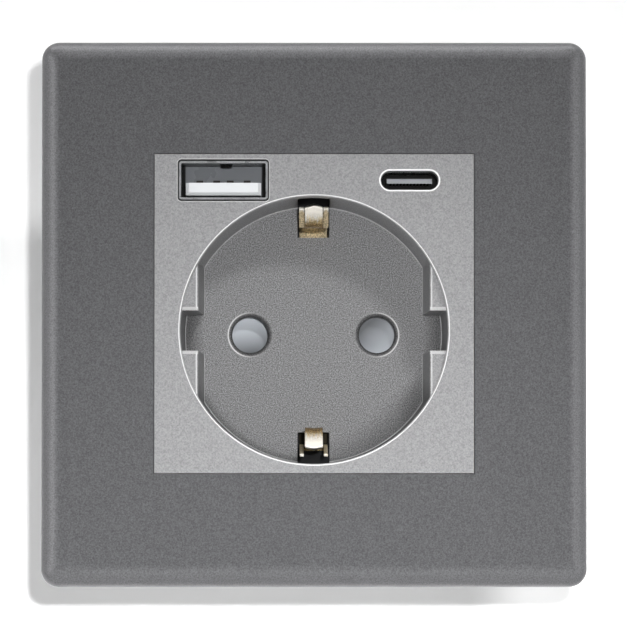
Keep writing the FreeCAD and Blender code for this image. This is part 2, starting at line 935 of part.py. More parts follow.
def contact_windows(ends):
    """Openings for the tails of both ports' contacts and for the link pins."""
    rise = "port_height - tongue_a_drop + tongue_a_thick / 2"
    tools = [
        block(
            ("-port_a_shift - 4.2", "-port_a_shift + 4.2"),
            ends,
            (f"{rise} - 0.4", f"{rise} + 0.3"),
        ),
        block(
            ("port_c_shift - 3.1", "port_c_shift + 3.1"),
            ends,
            ("port_height - tongue_c_thick / 2 - 0.25", "port_height + tongue_c_thick / 2 + 0.25"),
        ),
    ]
    return tools


def link_windows(ends, play="0.1"):
    return [
        block(
            (f"({step}) * link_pitch - link_half - {play}", f"({step}) * link_pitch + link_half + {play}"),
            ends,
            (f"link_z - link_half - {play}", f"link_z + link_half + {play}"),
        )
        for step in (-1.5, -0.5, 0.5, 1.5)
    ]


def make_port_carrier():
    strip = arched_strip("carrier_foot", ("carrier_front", "board_front"))
    pockets = [
        block(
            (
                "-port_a_shift - shell_a_width / 2 - 0.05",
                "-port_a_shift + shell_a_width / 2 + 0.05",
            ),
            ("carrier_front - 1", "web_front"),
            (
                "port_height - shell_a_height / 2 - 0.05",
                "port_height + shell_a_height",
            ),
        ),
        slotted_round(
            "shell_c_width / 2 + 0.05",
            "shell_c_height / 2 + 0.05",
            ("carrier_front - 1", "web_front"),
            "port_c_shift",
            "port_height",
        ),
    ]
    for x, z in PORT_SCREWS:
        pockets.append(rod("board_screw_hole", ("web_front - 1", "board_front + 1"), x=x, z=z))
        pockets.append(rod("board_screw_head + 0.1", ("carrier_front - 1", "web_front"), x=x, z=z))
    pockets += contact_windows(("web_front - 1", "board_front + 1"))
    pockets += link_windows(("board_front - 3.2", "board_front + 1"))
    finished("usb_carrier", cut(strip, *pockets))


def make_port_board():
    strip = arched_strip("carrier_foot", ("board_front", "0"))
    holes = [rod("board_screw_hole", ("board_front - 1", "1"), x=x, z=z) for x, z in PORT_SCREWS]
    holes += contact_windows(("board_front - 1", "1"))
    holes += link_windows(("board_front - 1", "1"))
    finished("usb_board", cut(strip, *holes))
    screws = []
    for x, z in PORT_SCREWS:
        head = rod("board_screw_head", ("web_front - board_screw_head_thick", "web_front"), x=x, z=z)
        shank = rod("board_screw_radius", ("web_front - 0.5", "5"), x=x, z=z)
        slot = block(
            (f"{x} - 1.5", f"{x} + 1.5"),
            ("web_front - board_screw_head_thick - 0.4", "web_front - board_screw_head_thick + 0.4"),
            (f"{z} - 0.2", f"{z} + 0.2"),
        )
        screws.append(cut(fuse(head, shank), slot))
    finished("board_screws", group(*screws))


# Mounting ring of pressed steel, with its rivets


def make_support_ring():
    body = body_of("support_ring_body")
    plate = sketch_on(body, "XZ_Plane", "ring_outline")
    square(plate, "ring_side / 2")
    sheet_pad = pad(body, plate, "ring_thick", "ring_sheet")
    half = size("ring_side") / 2
    corners = edges_where(
        sheet_pad.Shape, lambda m, d: abs(abs(m.x) - half) < 1e-4 and abs(abs(m.z) - half) < 1e-4
    )
    rounded(body, sheet_pad, corners, "ring_corner", "ring_corners")
    window = sketch_on(body, "XZ_Plane", "ring_window")
    low = "claw_height - claw_half - 1"
    high = "claw_height + claw_half + 1"
    points = [
        ("-ring_opening / 2", "-ring_opening / 2"),
        ("ring_opening / 2", "-ring_opening / 2"),
        ("ring_opening / 2", low),
        ("base_flat + 0.5", low),
        ("base_flat + 0.5", high),
        ("ring_opening / 2", high),
        ("ring_opening / 2", "ring_opening / 2"),
        ("-ring_opening / 2", "ring_opening / 2"),
        ("-ring_opening / 2", high),
        ("-base_flat - 0.5", high),
        ("-base_flat - 0.5", low),
        ("-ring_opening / 2", low),
    ]
    outline(window, points)
    pocket(body, window, "ring_thick", "ring_windowed", reverse=True)
    holes = sketch_on(body, "XZ_Plane", "ring_holes")
    for x, z in (("1", "0"), ("-1", "0"), ("0", "1"), ("0", "-1")):
        circle(holes, "box_screw_radius", f"{x} * box_screw_circle / 2", f"{z} * box_screw_circle / 2")
    for side in (-1, 1):
        circle(holes, "claw_screw_radius + claw_play", f"{side} * claw_shift", "claw_height")
        for end in (-1, 1):
            circle(holes, "rivet_radius", f"{side} * rivet_shift", f"{end} * rivet_height")
    pocket(body, holes, "ring_thick", "ring_holes_cut", reverse=True)
    tabs = sketch_on(body, "XZ_Plane", "ring_tabs", "ring_thick")
    for side in (-1, 1):
        for end in (-1, 1):
            outline(
                tabs,
                [
                    (f"{side} * ring_tab_shift - ring_tab_width / 2", f"{end} * ring_tab_height"),
                    (f"{side} * ring_tab_shift + ring_tab_width / 2", f"{end} * ring_tab_height"),
                    (
                        f"{side} * ring_tab_shift + ring_tab_width / 2",
                        f"{end} * (ring_tab_height + ring_thick)",
                    ),
                    (
                        f"{side} * ring_tab_shift - ring_tab_width / 2",
                        f"{end} * (ring_tab_height + ring_thick)",
                    ),
                ],
            )
    pad(body, tabs, "ring_tab_length", "ring_tab_pads")
    finished("support_ring", body)


def make_rivets():
    rivets = []
    for side in (-1, 1):
        for end in (-1, 1):
            x = f"{side} * rivet_shift"
            z = f"{end} * rivet_height"
            shank = rod("rivet_radius", ("-ring_thick", "4"), x=x, z=z)
            head = cone("rivet_head - 0.5", "rivet_head", ("-ring_thick - 0.7", "-ring_thick"), x=x, z=z)
            rivets.append(fuse(shank, head))
    finished("ring_rivets", group(*rivets))


# Insert behind the wall: base, rear cover and their screws


def insert_outline(ends):
    """The round outline with two flats, as a solid between two depths."""
    return meet(
        rod("base_radius", ends),
        block(("-base_flat", "base_flat"), ends, ("-base_radius", "base_radius")),
    )


TERMINALS = {
    "line": ("-terminal_shift", "0"),
    "earth": ("0", "earth_terminal_drop"),
    "neutral": ("terminal_shift", "0"),
}
HOUSING_SCREWS = [
    (f"{side} * housing_screw_shift", z)
    for side in (-1, 1)
    for z in ("housing_screw_high", "housing_screw_low")
]


def make_socket_base():
    body = insert_outline(("0", "base_depth"))
    ramps = []
    for side in (-1, 1):
        for end in (-1, 1):
            ramps.append(claw_ramp(side, end))
    tools = [
        rod("tube_radius + fit_gap", ("-1", "cup_back"), z="well_z"),
        rod("rotor_radius + fit_gap", ("cup_back - 1", "rotor_room"), z="well_z"),
    ]
    groove = ("-strap_width / 2 - 0.1", "strap_width / 2 + 0.1")
    reach = "earth_slot_inner + foot_inset + 0.7"
    tools.append(
        block(
            groove,
            ("cup_back - 1", "strap_back"),
            (f"well_z + strap_rise - ({reach})", f"well_z + strap_rise + {reach}"),
        )
    )
    for side in (-1, 1):
        x = f"{side} * pin_x"
        tools.append(
            rod(
                "contact_bore + contact_metal + fit_gap",
                ("rotor_room - 1", "base_depth + 1"),
                x=x,
                z="well_z",
            )
        )
        outer = "terminal_shift + bar_half + 0.2"
        leg = ("pin_x - 1.3", "pin_x + 1.3")
        low_bar = ("pin_x - 1.3", outer)
        tab = ("pin_x - 1.3", "pin_x + 4")
        if side < 0:
            leg = ("-pin_x - 1.3", "-pin_x + 1.3")
            low_bar = (f"-({outer})", "-pin_x + 1.3")
            tab = ("-pin_x - 4", "-pin_x + 1.3")
        back = ("contact_back - 1.3", "base_depth + 1")
        tools.append(block(leg, back, ("terminal_bar - 0.2", "well_z")))
        tools.append(block(low_bar, back, ("terminal_bar - 0.2", "terminal_bar + bar_thick + 0.2")))
        tools.append(block(tab, back, ("well_z - 0.2", "chamber_foot + 1")))
    for x, drop in TERMINALS.values():
        tools.append(
            block(
                (f"{x} - cage_half - 0.3", f"{x} + cage_half + 0.3"),
                (
                    "terminal_depth - cage_length / 2 - 0.3",
                    "terminal_depth + cage_length / 2 + 0.3",
                ),
                ("-base_radius - 1", f"cage_top - {drop} + 0.3"),
            )
        )
        tools.append(
            rod(
                "wire_hole",
                ("terminal_depth", "base_depth + 1"),
                x=x,
                z=f"terminal_bar - {drop} + bar_thick + wire_hole",
            )
        )
    for side in (-1, 1):
        x = f"{side} * terminal_shift"
        tools.append(
            block(
                (f"{x} - bar_half - 0.2", f"{x} + bar_half + 0.2"),
                ("terminal_depth - cage_length / 2 - 0.8", "contact_back"),
                ("terminal_bar - 0.2", "terminal_bar + bar_thick + 0.2"),
            )
        )
    tools.append(
        block(
            groove,
            ("strap_back - 0.1", "terminal_depth"),
            (
                "terminal_bar - earth_terminal_drop - 0.2",
                "terminal_bar - earth_terminal_drop + bar_thick + 0.2",
            ),
        )
    )
    tools.append(
        block(
            groove,
            ("strap_back - 0.1", "strap_back + bar_thick"),
            ("terminal_bar - earth_terminal_drop - 0.2", "well_z - 4"),
        )
    )
    tools.append(
        block(
            ("-chamber_half", "chamber_half"),
            ("chamber_floor", "base_depth + 1"),
            ("chamber_foot", "chamber_top"),
        )
    )
    tools.append(
        block(
            ("-1.5 * link_pitch - link_half - 0.3", "1.5 * link_pitch + link_half + 0.3"),
            ("-1", "chamber_floor + 1"),
            ("link_z - link_half - 0.2", "link_z + link_half + 0.2"),
        )
    )
    rise = "port_height - tongue_a_drop + tongue_a_thick / 2"
    tools.append(
        block(("-port_a_shift - 4.2", "-port_a_shift + 4.2"), ("-1", "1"), (f"{rise} - 0.4", f"{rise} + 0.4"))
    )
    tools.append(
        block(
            ("port_c_shift - 3.1", "port_c_shift + 3.1"),
            ("-1", "1"),
            ("port_height - 0.7", "port_height + 0.7"),
        )
    )
    for x, z in PORT_SCREWS:
        tools.append(rod("board_screw_radius", ("-1", "5.5"), x=x, z=z))
    for side in (-1, 1):
        for end in (-1, 1):
            tools.append(
                rod("rivet_radius", ("-1", "4"), x=f"{side} * rivet_shift", z=f"{end} * rivet_height")
            )
    for x, z in HOUSING_SCREWS:
        tools.append(rod("housing_screw_radius", ("base_depth - 8", "base_depth + 1"), x=x, z=z))
    post = rod("post_radius", ("cup_back", "strap_back + 1"), z="well_z")
    hollow = cut(fuse(body, *ramps), *tools)
    finished("socket_base", fuse(hollow, post))


def claw_ramp(side, end):
    """One of a claw's two guide ramps, beside its screw, parallel to the claw's travel."""
    thing = fresh("Part::Extrusion", "ramp")
    body = fresh("Part::Feature", "ramp_section")
    slope = math.tan(math.radians(size("claw_slope")))
    flat = size("base_flat") - 0.5
    top_x = size("claw_shift") + 0.3
    back_y = size("claw_depth") + 0.4 / slope
    points = [
        (flat, back_y + 0.5 / slope - 0.2),
        (top_x, back_y - (top_x - flat - 0.5) / slope - 0.2),
        (top_x, back_y - (top_x - flat) / slope - 1.4),
        (flat, back_y - (top_x - flat) / slope - 1.4),
    ]
    low = size("claw_height") + end * (size("nut_half") + size("claw_play"))
    high = size("claw_height") + end * size("claw_half")
    corners = [Vector(side * x, y, low) for x, y in points]
    body.Shape = Part.Face(Part.makePolygon(corners + corners[:1]))
    thing.Base = body
    thing.Dir = Vector(0, 0, 1)
    thing.LengthFwd = high - low
    thing.Solid = True
    return thing


def make_rear_cover():
    plate = insert_outline(("base_depth", "base_depth + cover_wall"))
    hump = meet(
        block(
            ("-chamber_half - 2.2", "chamber_half + 2.2"),
            ("base_depth", "cover_back"),
            ("chamber_foot - 2.4", "chamber_top + 2"),
        ),
        rod("base_radius", ("base_depth", "cover_back")),
    )
    tools = [
        block(
            ("-chamber_half - supply_board_lap - 0.2", "chamber_half + supply_board_lap + 0.2"),
            ("base_depth - 1", "cover_back - cover_wall"),
            ("chamber_foot - 1.1", "chamber_top + 0.2"),
        )
    ]
    for x, z in HOUSING_SCREWS:
        tools.append(rod("housing_screw_radius + 0.3", ("base_depth - 1", "cover_back"), x=x, z=z))
        tools.append(rod("housing_screw_head + 0.3", ("base_depth + cover_wall", "cover_back + 1"), x=x, z=z))
    for x, drop in TERMINALS.values():
        tools.append(
            rod(
                "wire_hole",
                ("base_depth - 1", "cover_back + 1"),
                x=x,
                z=f"terminal_bar - {drop} + bar_thick + wire_hole",
            )
        )
    finished("rear_cover", cut(fuse(plate, hump), *tools))


def make_housing_screws():
    screws = []
    back = "base_depth + cover_wall"
    deep = (f"{back} + 0.5", f"{back} + housing_screw_head_thick + 1")
    for x, z in HOUSING_SCREWS:
        head = rod("housing_screw_head", (back, f"{back} + housing_screw_head_thick"), x=x, z=z)
        shank = rod("housing_screw_radius", ("base_depth - 7", f"{back} + 0.5"), x=x, z=z)
        cross = [
            block((f"{x} - {wide}", f"{x} + {wide}"), deep, (f"{z} - {tall}", f"{z} + {tall}"))
            for wide, tall in (("1.1", "0.22"), ("0.22", "1.1"))
        ]
        screws.append(cut(fuse(head, shank), *cross))
    finished("housing_screws", group(*screws))


# Contacts: earth strap, earth bar and the two pin contacts


def ribbon(path, thick):
    """A strip's side outline: the path set off by half the metal on each side, mitred at bends."""
    left = []
    right = []
    last = len(path) - 1
    for i, (a, b) in enumerate(path):
        before = path[max(i - 1, 0)]
        after = path[min(i + 1, last)]
        first = Vector(a - before[0], b - before[1], 0)
        second = Vector(after[0] - a, after[1] - b, 0)
        first = first if first.Length else second
        second = second if second.Length else first
        first.normalize()
        second.normalize()
        across = Vector(-first.y - second.y, first.x + second.x, 0)
        across.normalize()
        reach = thick / 2 / (across.x * -first.y + across.y * first.x)
        left.append((a + across.x * reach, b + across.y * reach))
        right.append((a - across.x * reach, b - across.y * reach))
    return left + right[::-1]


def bent_strip(path, thick, half, x=0.0, mirror=1, centre=0.0):
    """A solid strip bent in the YZ plane along (height, depth) points."""
    corners = [Vector(x - half, depth, centre + mirror * height) for height, depth in ribbon(path, thick)]
    face = Part.Face(Part.makePolygon(corners + corners[:1]))
    return face.extrude(Vector(2 * half, 0, 0))


def make_earth_strap():
    """Brass strap behind the well's floor, with a sprung tongue and two arms at each end."""
    thick = size("strap_thick")
    middle = (size("strap_front") + size("strap_back")) / 2
    centre = size("well_z") + size("strap_rise")
    half = size("strap_width") / 2
    tongue = size("tongue_width") / 2
    floor = size("floor_y")
    back = size("well_back")
    slit = 0.12
    inner = size("earth_slot_inner")
    foot = inner + size("foot_inset")
    bow_in = inner + size("bow_inset")
    bow_y = floor - size("bow_depth")
    tip_z = inner + size("tip_inset")
    tip_y = floor - size("tip_depth")
    heel = (foot, back + 0.6)
    knee = (foot, floor - 0.5)
    shapes = []
    for mirror in (-1, 1):
        shapes.append(bent_strip([(0, middle), (foot, middle), heel], thick, half, 0, mirror, centre))
        bow = [heel, knee, (bow_in, bow_y), (bow_in - 0.05, bow_y - 1), (tip_z, tip_y)]
        shapes.append(bent_strip(bow, thick, tongue, 0, mirror, centre))
        arm = [heel, knee, (inner + size("arm_inset"), floor - size("arm_depth"))]
        width = (half - tongue - slit) / 2
        for side in (-1, 1):
            shapes.append(bent_strip(arm, thick, width, side * (half - width), mirror, centre))
    strap = shapes[0].multiFuse(shapes[1:]).removeSplitter()
    for mirror in (-1, 1):
        for side in (-1, 1):
            tip = [
                Vector(side * tongue * 0.35, tip_y - 0.5, 0),
                Vector(side * (tongue + 0.1), tip_y + 1.1, 0),
                Vector(side * (tongue + 0.1), tip_y - 0.5, 0),
            ]
            wedge = Part.Face(Part.makePolygon(tip + tip[:1]))
            wedge.translate(Vector(0, 0, centre + mirror * (tip_z - 1.6)))
            strap = strap.cut(wedge.extrude(Vector(0, 0, mirror * 3)))
    pivot_start = Vector(0, size("strap_front") - 2, size("well_z"))
    pivot = Part.makeCylinder(size("post_radius") + size("post_play"), 4, pivot_start, Vector(0, 1, 0))
    strap = strap.cut(pivot)
    feature = doc.addObject("Part::Feature", "earth_strap_metal")
    feature.Shape = strap
    finished("earth_strap", feature)


def make_earth_bar():
    low = "terminal_bar - earth_terminal_drop"
    upright = block(
        ("-strap_width / 2", "strap_width / 2"),
        ("strap_back", "strap_back + 0.8"),
        (low, "well_z - 4.2"),
    )
    along = block(
        ("-bar_half", "bar_half"),
        ("strap_back", "terminal_depth + cage_length / 2 + 0.2"),
        (low, f"{low} + bar_thick"),
    )
    finished("earth_bar", fuse(upright, along))


def make_contact(name, side):
    """A slit pin sleeve with a leg down to its wire terminal and a tab up to the supply."""
    x = f"{side} * pin_x"
    sleeve = rod("contact_bore + contact_metal", ("contact_front", "contact_back"), x=x, z="well_z")
    plate_y = ("contact_back - 1", "contact_back - 0.2")
    leg = block((f"{x} - 1.1", f"{x} + 1.1"), plate_y, ("terminal_bar", "well_z"))
    low = ("terminal_bar", "terminal_bar + bar_thick")
    if side < 0:
        cross = block(("-terminal_shift - bar_half", "-pin_x + 1.1"), plate_y, low)
        tab = block(("-pin_x - 3.4", "-pin_x"), plate_y, ("well_z", "well_z + 1.5"))
        rise = block(("-pin_x - 3.4", "-pin_x - 2.4"), plate_y, ("well_z", "chamber_foot + 1"))
        post = block(
            ("-pin_x - 3.4", "-pin_x - 2.4"),
            ("contact_back - 1", "board_back + 0.6"),
            ("chamber_foot + 0.3", "chamber_foot + 1"),
        )
    else:
        cross = block(("pin_x - 1.1", "terminal_shift + bar_half"), plate_y, low)
        tab = block(("pin_x", "pin_x + 3.4"), plate_y, ("well_z", "well_z + 1.5"))
        rise = block(("pin_x + 2.4", "pin_x + 3.4"), plate_y, ("well_z", "chamber_foot + 1"))
        post = block(
            ("pin_x + 2.4", "pin_x + 3.4"),
            ("contact_back - 1", "board_back + 0.6"),
            ("chamber_foot + 0.3", "chamber_foot + 1"),
        )
    bar = block(
        (f"{side} * terminal_shift - bar_half", f"{side} * terminal_shift + bar_half"),
        ("terminal_depth - cage_length / 2 - 0.2", "contact_back - 0.2"),
        low,
    )
    bore = rod("contact_bore", ("contact_front - 1", "contact_back + 1"), x=x, z="well_z")
    slit = block(
        (f"{x} - 0.45", f"{x} + 0.45"), ("contact_front - 1", "contact_back - 2"), ("well_z", "well_z + 5")
    )
    finished(name, cut(fuse(sleeve, leg, cross, tab, rise, post, bar), bore, slit))


# Wire terminals: a clamp screw and a rising cage each


def make_terminal(name, x, drop):
    low = f"cage_low - {drop}"
    top = f"cage_top - {drop}"
    depth = ("terminal_depth - cage_length / 2", "terminal_depth + cage_length / 2")
    outer = block((f"{x} - cage_half", f"{x} + cage_half"), depth, (low, top))
    window = block(
        (f"{x} - cage_half + cage_wall", f"{x} + cage_half - cage_wall"),
        (f"{depth[0]} - 1", f"{depth[1]} + 1"),
        (f"{low} + cage_foot", f"{top} - cage_wall"),
    )
    thread = rod(
        "clamp_radius + 0.05",
        (f"{low} - 1", f"{low} + cage_foot + 1"),
        x=x,
        y="terminal_depth",
        axis="z",
    )
    finished(f"terminal_cage_{name}", cut(outer, window, thread))

    head_top = f"clamp_head_top - {drop}"
    head = rod(
        "clamp_head",
        (f"{head_top} - clamp_head_thick", head_top),
        x=x,
        y="terminal_depth",
        axis="z",
    )
    shank = rod(
        "clamp_radius",
        (f"{head_top} - 0.5", f"terminal_bar - {drop}"),
        x=x,
        y="terminal_depth",
        axis="z",
    )
    slot = block(
        (f"{x} - 3", f"{x} + 3"),
        ("terminal_depth - 0.35", "terminal_depth + 0.35"),
        (f"{head_top} - clamp_head_thick - 1", f"{head_top} - clamp_head_thick + 1"),
    )
    finished(f"terminal_screw_{name}", cut(fuse(head, shank), slot))


# Child safety shutter and its spring


def make_shutter():
    """Two lobes on a hub. Each face slopes, so that two pins pressed in together turn it."""
    hub = rod("shutter_hub", ("rotor_front", "rotor_back"), z="well_z")
    shapes = [hub]
    for side in (-1, 1):
        shapes.append(rod("shutter_radius", ("rotor_front", "rotor_back"), x=f"{side} * pin_x", z="well_z"))
    shapes.append(
        block(
            ("-pin_x", "pin_x"),
            ("rotor_front + 0.9", "rotor_back"),
            ("well_z - shutter_radius + 0.6", "well_z + shutter_radius - 0.6"),
        )
    )
    slopes = []
    for side in (-1, 1):
        wedge = fresh("Part::Wedge", "shutter_slope")
        bind(
            wedge,
            Xmin="-shutter_radius - 0.2",
            Xmax="shutter_radius + 0.2",
            X2min="-shutter_radius - 0.2",
            X2max="shutter_radius + 0.2",
            Ymin="0",
            Ymax="rotor_thick - 1",
            Zmin="-shutter_radius - 0.2",
            Zmax="shutter_radius + 0.2",
            Z2min="shutter_radius + 0.1" if side < 0 else "-shutter_radius - 0.2",
            Z2max="shutter_radius + 0.2" if side < 0 else "-shutter_radius - 0.1",
            at_x=f"{side} * pin_x",
            at_y="rotor_front",
            at_z="well_z",
        )
        slopes.append(wedge)
    bore = rod("post_radius + post_play", ("rotor_front - 1", "rotor_back + 1"), z="well_z")
    seat = rod("shutter_hub - 1", ("rotor_back - 1.4", "rotor_back + 1"), z="well_z")
    finished("shutter_rotor", cut(fuse(*shapes), *slopes, bore, seat))


def make_shutter_spring():
    """Torsion spring of three turns round the shutter's post, in the hub's seat."""
    wire = 0.16
    coil = size("post_radius") + 0.85
    pitch = 0.4
    turns = 2.75
    helix = Part.makeHelix(pitch, pitch * turns, coil)
    start = Vector(coil, 0, 0)
    profile = Part.Wire(Part.makeCircle(wire, start, Vector(0, 1, 0)))
    spring = Part.Wire(helix).makePipeShell([profile], True, True)
    spring.Placement = FreeCAD.Placement(
        Vector(0, size("rotor_back") - 1.4 + wire + 0.05, size("well_z")), TURNS["y"]
    )
    feature = doc.addObject("Part::Feature", "shutter_spring_wire")
    feature.Shape = spring
    finished("shutter_spring", feature)


# Supply behind the wall: board, transformer, capacitors and small parts


def make_supply():
    board = block(
        ("-chamber_half - supply_board_lap", "chamber_half + supply_board_lap"),
        ("board_y", "board_back"),
        ("chamber_foot - 0.9", "chamber_top - 0.1"),
    )
    holes = link_windows(("board_y - 1", "board_back + 1"))
    for side in (-1, 1):
        middle = f"{side} * (pin_x + 2.9)"
        holes.append(
            block(
                (f"{middle} - 0.7", f"{middle} + 0.7"),
                ("board_y - 1", "board_back + 1"),
                ("chamber_foot + 0.1", "chamber_foot + 1.2"),
            )
        )
    finished("power_board", cut(board, *holes))

    middle = {"x": "-core_shift", "z": "chamber_middle"}
    core_x = ("-core_shift - core_width / 2", "-core_shift + core_width / 2")
    core_y = ("base_depth - core_gap - core_depth", "base_depth - core_gap")
    core_z = ("chamber_middle - core_height / 2", "chamber_middle + core_height / 2")
    inside = (f"{core_y[0]} + core_wall", f"{core_y[1]} - core_wall")
    outer = block(core_x, core_y, core_z)
    ring = rod("core_window", inside, **middle)
    open_x = ("-core_shift - core_window", "-core_shift + core_window")
    open_z = (f"{core_z[0]} - 0.4", f"{core_z[1]} + 0.6")
    leg = rod("core_leg", core_y, **middle)
    finished("transformer_core", fuse(cut(outer, ring, block(open_x, inside, open_z)), leg))

    coil_y = (f"{inside[0]} + coil_play", f"{inside[1]} - coil_play")
    winding = rod("core_window - coil_play", coil_y, **middle)
    hollow = rod("core_leg + coil_play", core_y, **middle)
    finished("transformer_coil", cut(winding, hollow))

    bulk = rod(
        "bulk_radius", ("base_depth - bulk_length", "board_y"), x="chamber_half - 4.8", z="chamber_foot + 5.1"
    )
    finished("bulk_capacitor", bulk)
    output = rod(
        "output_radius",
        ("base_depth - output_length", "board_y"),
        x="chamber_half - 7.8",
        z="chamber_top - 4.6",
    )
    finished("output_capacitor", output)

    chip_y = ("board_back", "board_back + chip_height")
    first_x = ("-chamber_half + 1.4", "-chamber_half + 5.6")
    chips = [
        block(first_x, chip_y, ("chamber_foot + 3.5", "chamber_foot + 7.5")),
        block(("-5", "-1"), chip_y, ("chamber_top - 8.5", "chamber_top - 4.1")),
        block(("4", "8.2"), chip_y, ("chamber_foot + 2.5", "chamber_foot + 6.1")),
    ]
    finished("power_chips", group(*chips))

    fuse_left = "-chamber_half + 2.6"
    fuse_right = f"{fuse_left} + fuse_length"
    fuse_at = {"y": "base_depth - 2.2", "z": "chamber_top - 1.5"}
    fuse_body = rod("fuse_radius", (fuse_left, fuse_right), axis="x", **fuse_at)
    lead = rod("lead_radius", (f"{fuse_left} - 1.5", f"{fuse_right} + 1.5"), axis="x", **fuse_at)
    ends = [
        rod("lead_radius - 0.08", (fuse_at["y"], "board_y"), x=x, z=fuse_at["z"])
        for x in (f"{fuse_left} - 1", f"{fuse_right} + 1")
    ]
    finished("fuse_resistor", fuse(fuse_body, lead, *ends))

    pins = link_windows(("board_front - 3", "board_back + 0.6"), play="0")
    finished("board_link", group(*pins))


# Claws that grip the wall box, with their screws and nuts


def make_claw(name, side):
    """A forked steel claw: web, outer plate and a toothed tip."""
    x_in = "base_flat + 0.4"
    x_plate = "claw_shift + 2.4"
    x_out = "claw_shift + 3.3"
    x_tip = "claw_shift + 3.7"
    z = ("claw_height - claw_half", "claw_height + claw_half")

    def across(low, high):
        return (low, high) if side > 0 else (f"-({high})", f"-({low})")

    web = block(across(x_in, x_out), ("claw_depth", "claw_depth + claw_steel"), z)
    plate = block(across(x_plate, x_out), ("claw_depth - 8", "claw_depth + 3"), z)
    tips = []
    for step in (-1, 0, 1):
        middle = f"claw_height + ({step}) * 2.6"
        tips.append(
            block(
                across(x_plate, x_tip),
                ("claw_depth - 8", "claw_depth - 7.2"),
                (f"{middle} - 0.8", f"{middle} + 0.8"),
            )
        )
    fork = block(
        across(f"{x_in} - 1", "claw_shift + claw_screw_radius + claw_play"),
        ("claw_depth - 1", "claw_depth + claw_steel + 1"),
        (
            "claw_height - claw_screw_radius - claw_play",
            "claw_height + claw_screw_radius + claw_play",
        ),
    )
    finished(f"claw_{name}", cut(fuse(web, plate, *tips), fork))

    middle = f"{side} * claw_shift"
    nut_y = ("claw_depth + claw_steel + 0.05", "claw_depth + claw_steel + 2.05")
    nut_z = ("claw_height - nut_half", "claw_height + nut_half")
    nut = block((f"{middle} - 2.25", f"{middle} + 2.25"), nut_y, nut_z)
    bore = rod(
        "claw_screw_radius + 0.05",
        (f"{nut_y[0]} - 1", f"{nut_y[1]} + 1"),
        x=middle,
        z="claw_height",
    )
    finished(f"claw_nut_{name}", cut(nut, bore))

    head = rod("claw_screw_head", ("-ring_thick - 2", "-ring_thick"), x=middle, z="claw_height")
    shank = rod("claw_screw_radius", ("-ring_thick - 0.5", "claw_screw_length"), x=middle, z="claw_height")
    slot = block(
        (f"{middle} - 3", f"{middle} + 3"),
        ("-ring_thick - 3", "-ring_thick - 1"),
        ("claw_height - 0.4", "claw_height + 0.4"),
    )
    finished(f"claw_screw_{name}", cut(fuse(head, shank), slot))


make_outer_frame()
make_centre_plate()
make_port_a()
make_port_c()
make_port_carrier()
make_port_board()
make_support_ring()
make_rivets()
make_socket_base()
make_rear_cover()
make_housing_screws()
make_earth_strap()
make_earth_bar()
make_contact("contact_line", -1)
make_contact("contact_neutral", 1)
for terminal, (shift, drop) in TERMINALS.items():
    make_terminal(terminal, shift, drop)
make_shutter()
make_shutter_spring()
make_supply()
for label, side in (("left", -1), ("right", 1)):
    make_claw(label, side)
doc.recompute()

# Every object has to be sound before anything is written
for thing in doc.Objects:
    if "Invalid" in thing.State or "Error" in thing.State:
        raise RuntimeError(f"{thing.Label} failed: {thing.State}")
for label, thing in PARTS.items():
    if thing.Shape.isNull() or not thing.Shape.isValid():
        raise RuntimeError(f"{label} has no sound shape")
for label, thing in PARTS.items():
    thing.Shape.exportStep(f"parts/{label}.step")
    print(f"{label}: {len(thing.Shape.Solids)} solid(s), {thing.Shape.Volume:.1f} mm3")
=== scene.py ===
"""Looks of the flush wall socket: finishes, sprung earth contacts, threads, stage and camera."""

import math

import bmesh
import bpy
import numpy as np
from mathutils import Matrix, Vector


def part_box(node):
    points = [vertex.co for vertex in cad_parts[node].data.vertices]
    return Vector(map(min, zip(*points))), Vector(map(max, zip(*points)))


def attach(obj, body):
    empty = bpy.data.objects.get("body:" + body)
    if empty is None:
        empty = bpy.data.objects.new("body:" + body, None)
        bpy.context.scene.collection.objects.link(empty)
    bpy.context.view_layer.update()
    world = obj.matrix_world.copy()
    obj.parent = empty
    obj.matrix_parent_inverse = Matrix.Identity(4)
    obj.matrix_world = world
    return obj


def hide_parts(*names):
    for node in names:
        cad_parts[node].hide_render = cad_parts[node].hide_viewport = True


bl_info = {
    "name": "Usb wall socket",
    "version": (1, 0, 0),
    "blender": (4, 5, 0),
    "location": "View3D > Sidebar > Socket",
    "description": "Finishes, springs, threads and stage for a wall socket with charging ports",
    "category": "Object",
}

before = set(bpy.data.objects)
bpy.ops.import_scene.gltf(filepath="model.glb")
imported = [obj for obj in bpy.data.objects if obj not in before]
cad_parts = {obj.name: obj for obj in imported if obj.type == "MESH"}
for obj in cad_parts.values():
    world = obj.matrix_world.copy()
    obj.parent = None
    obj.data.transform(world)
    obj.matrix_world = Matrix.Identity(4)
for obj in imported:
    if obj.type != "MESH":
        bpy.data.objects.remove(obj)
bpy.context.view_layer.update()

MM = 0.001

# Places taken from the frame, in metres
FRONT_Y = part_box("centre_plate")[0][1]
FRAME_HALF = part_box("outer_frame")[1][0]
STRAP_LOW, STRAP_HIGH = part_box("earth_strap")
STRAP_MIDDLE_Z = (STRAP_LOW[2] + STRAP_HIGH[2]) / 2

# Middles and straight half sizes of the plate's openings, across and up, in millimetres
WELL = (0.0, -2.4)
PIN_HOLE = (9.5, -2.4)
WIDE_PORT = (-13.4, 19.7)
WIDE_PORT_HALF = (6.15, 2.5)
SMALL_PORT = (14.1, 19.7)
SMALL_PORT_HALF = (2.87, 0.0)

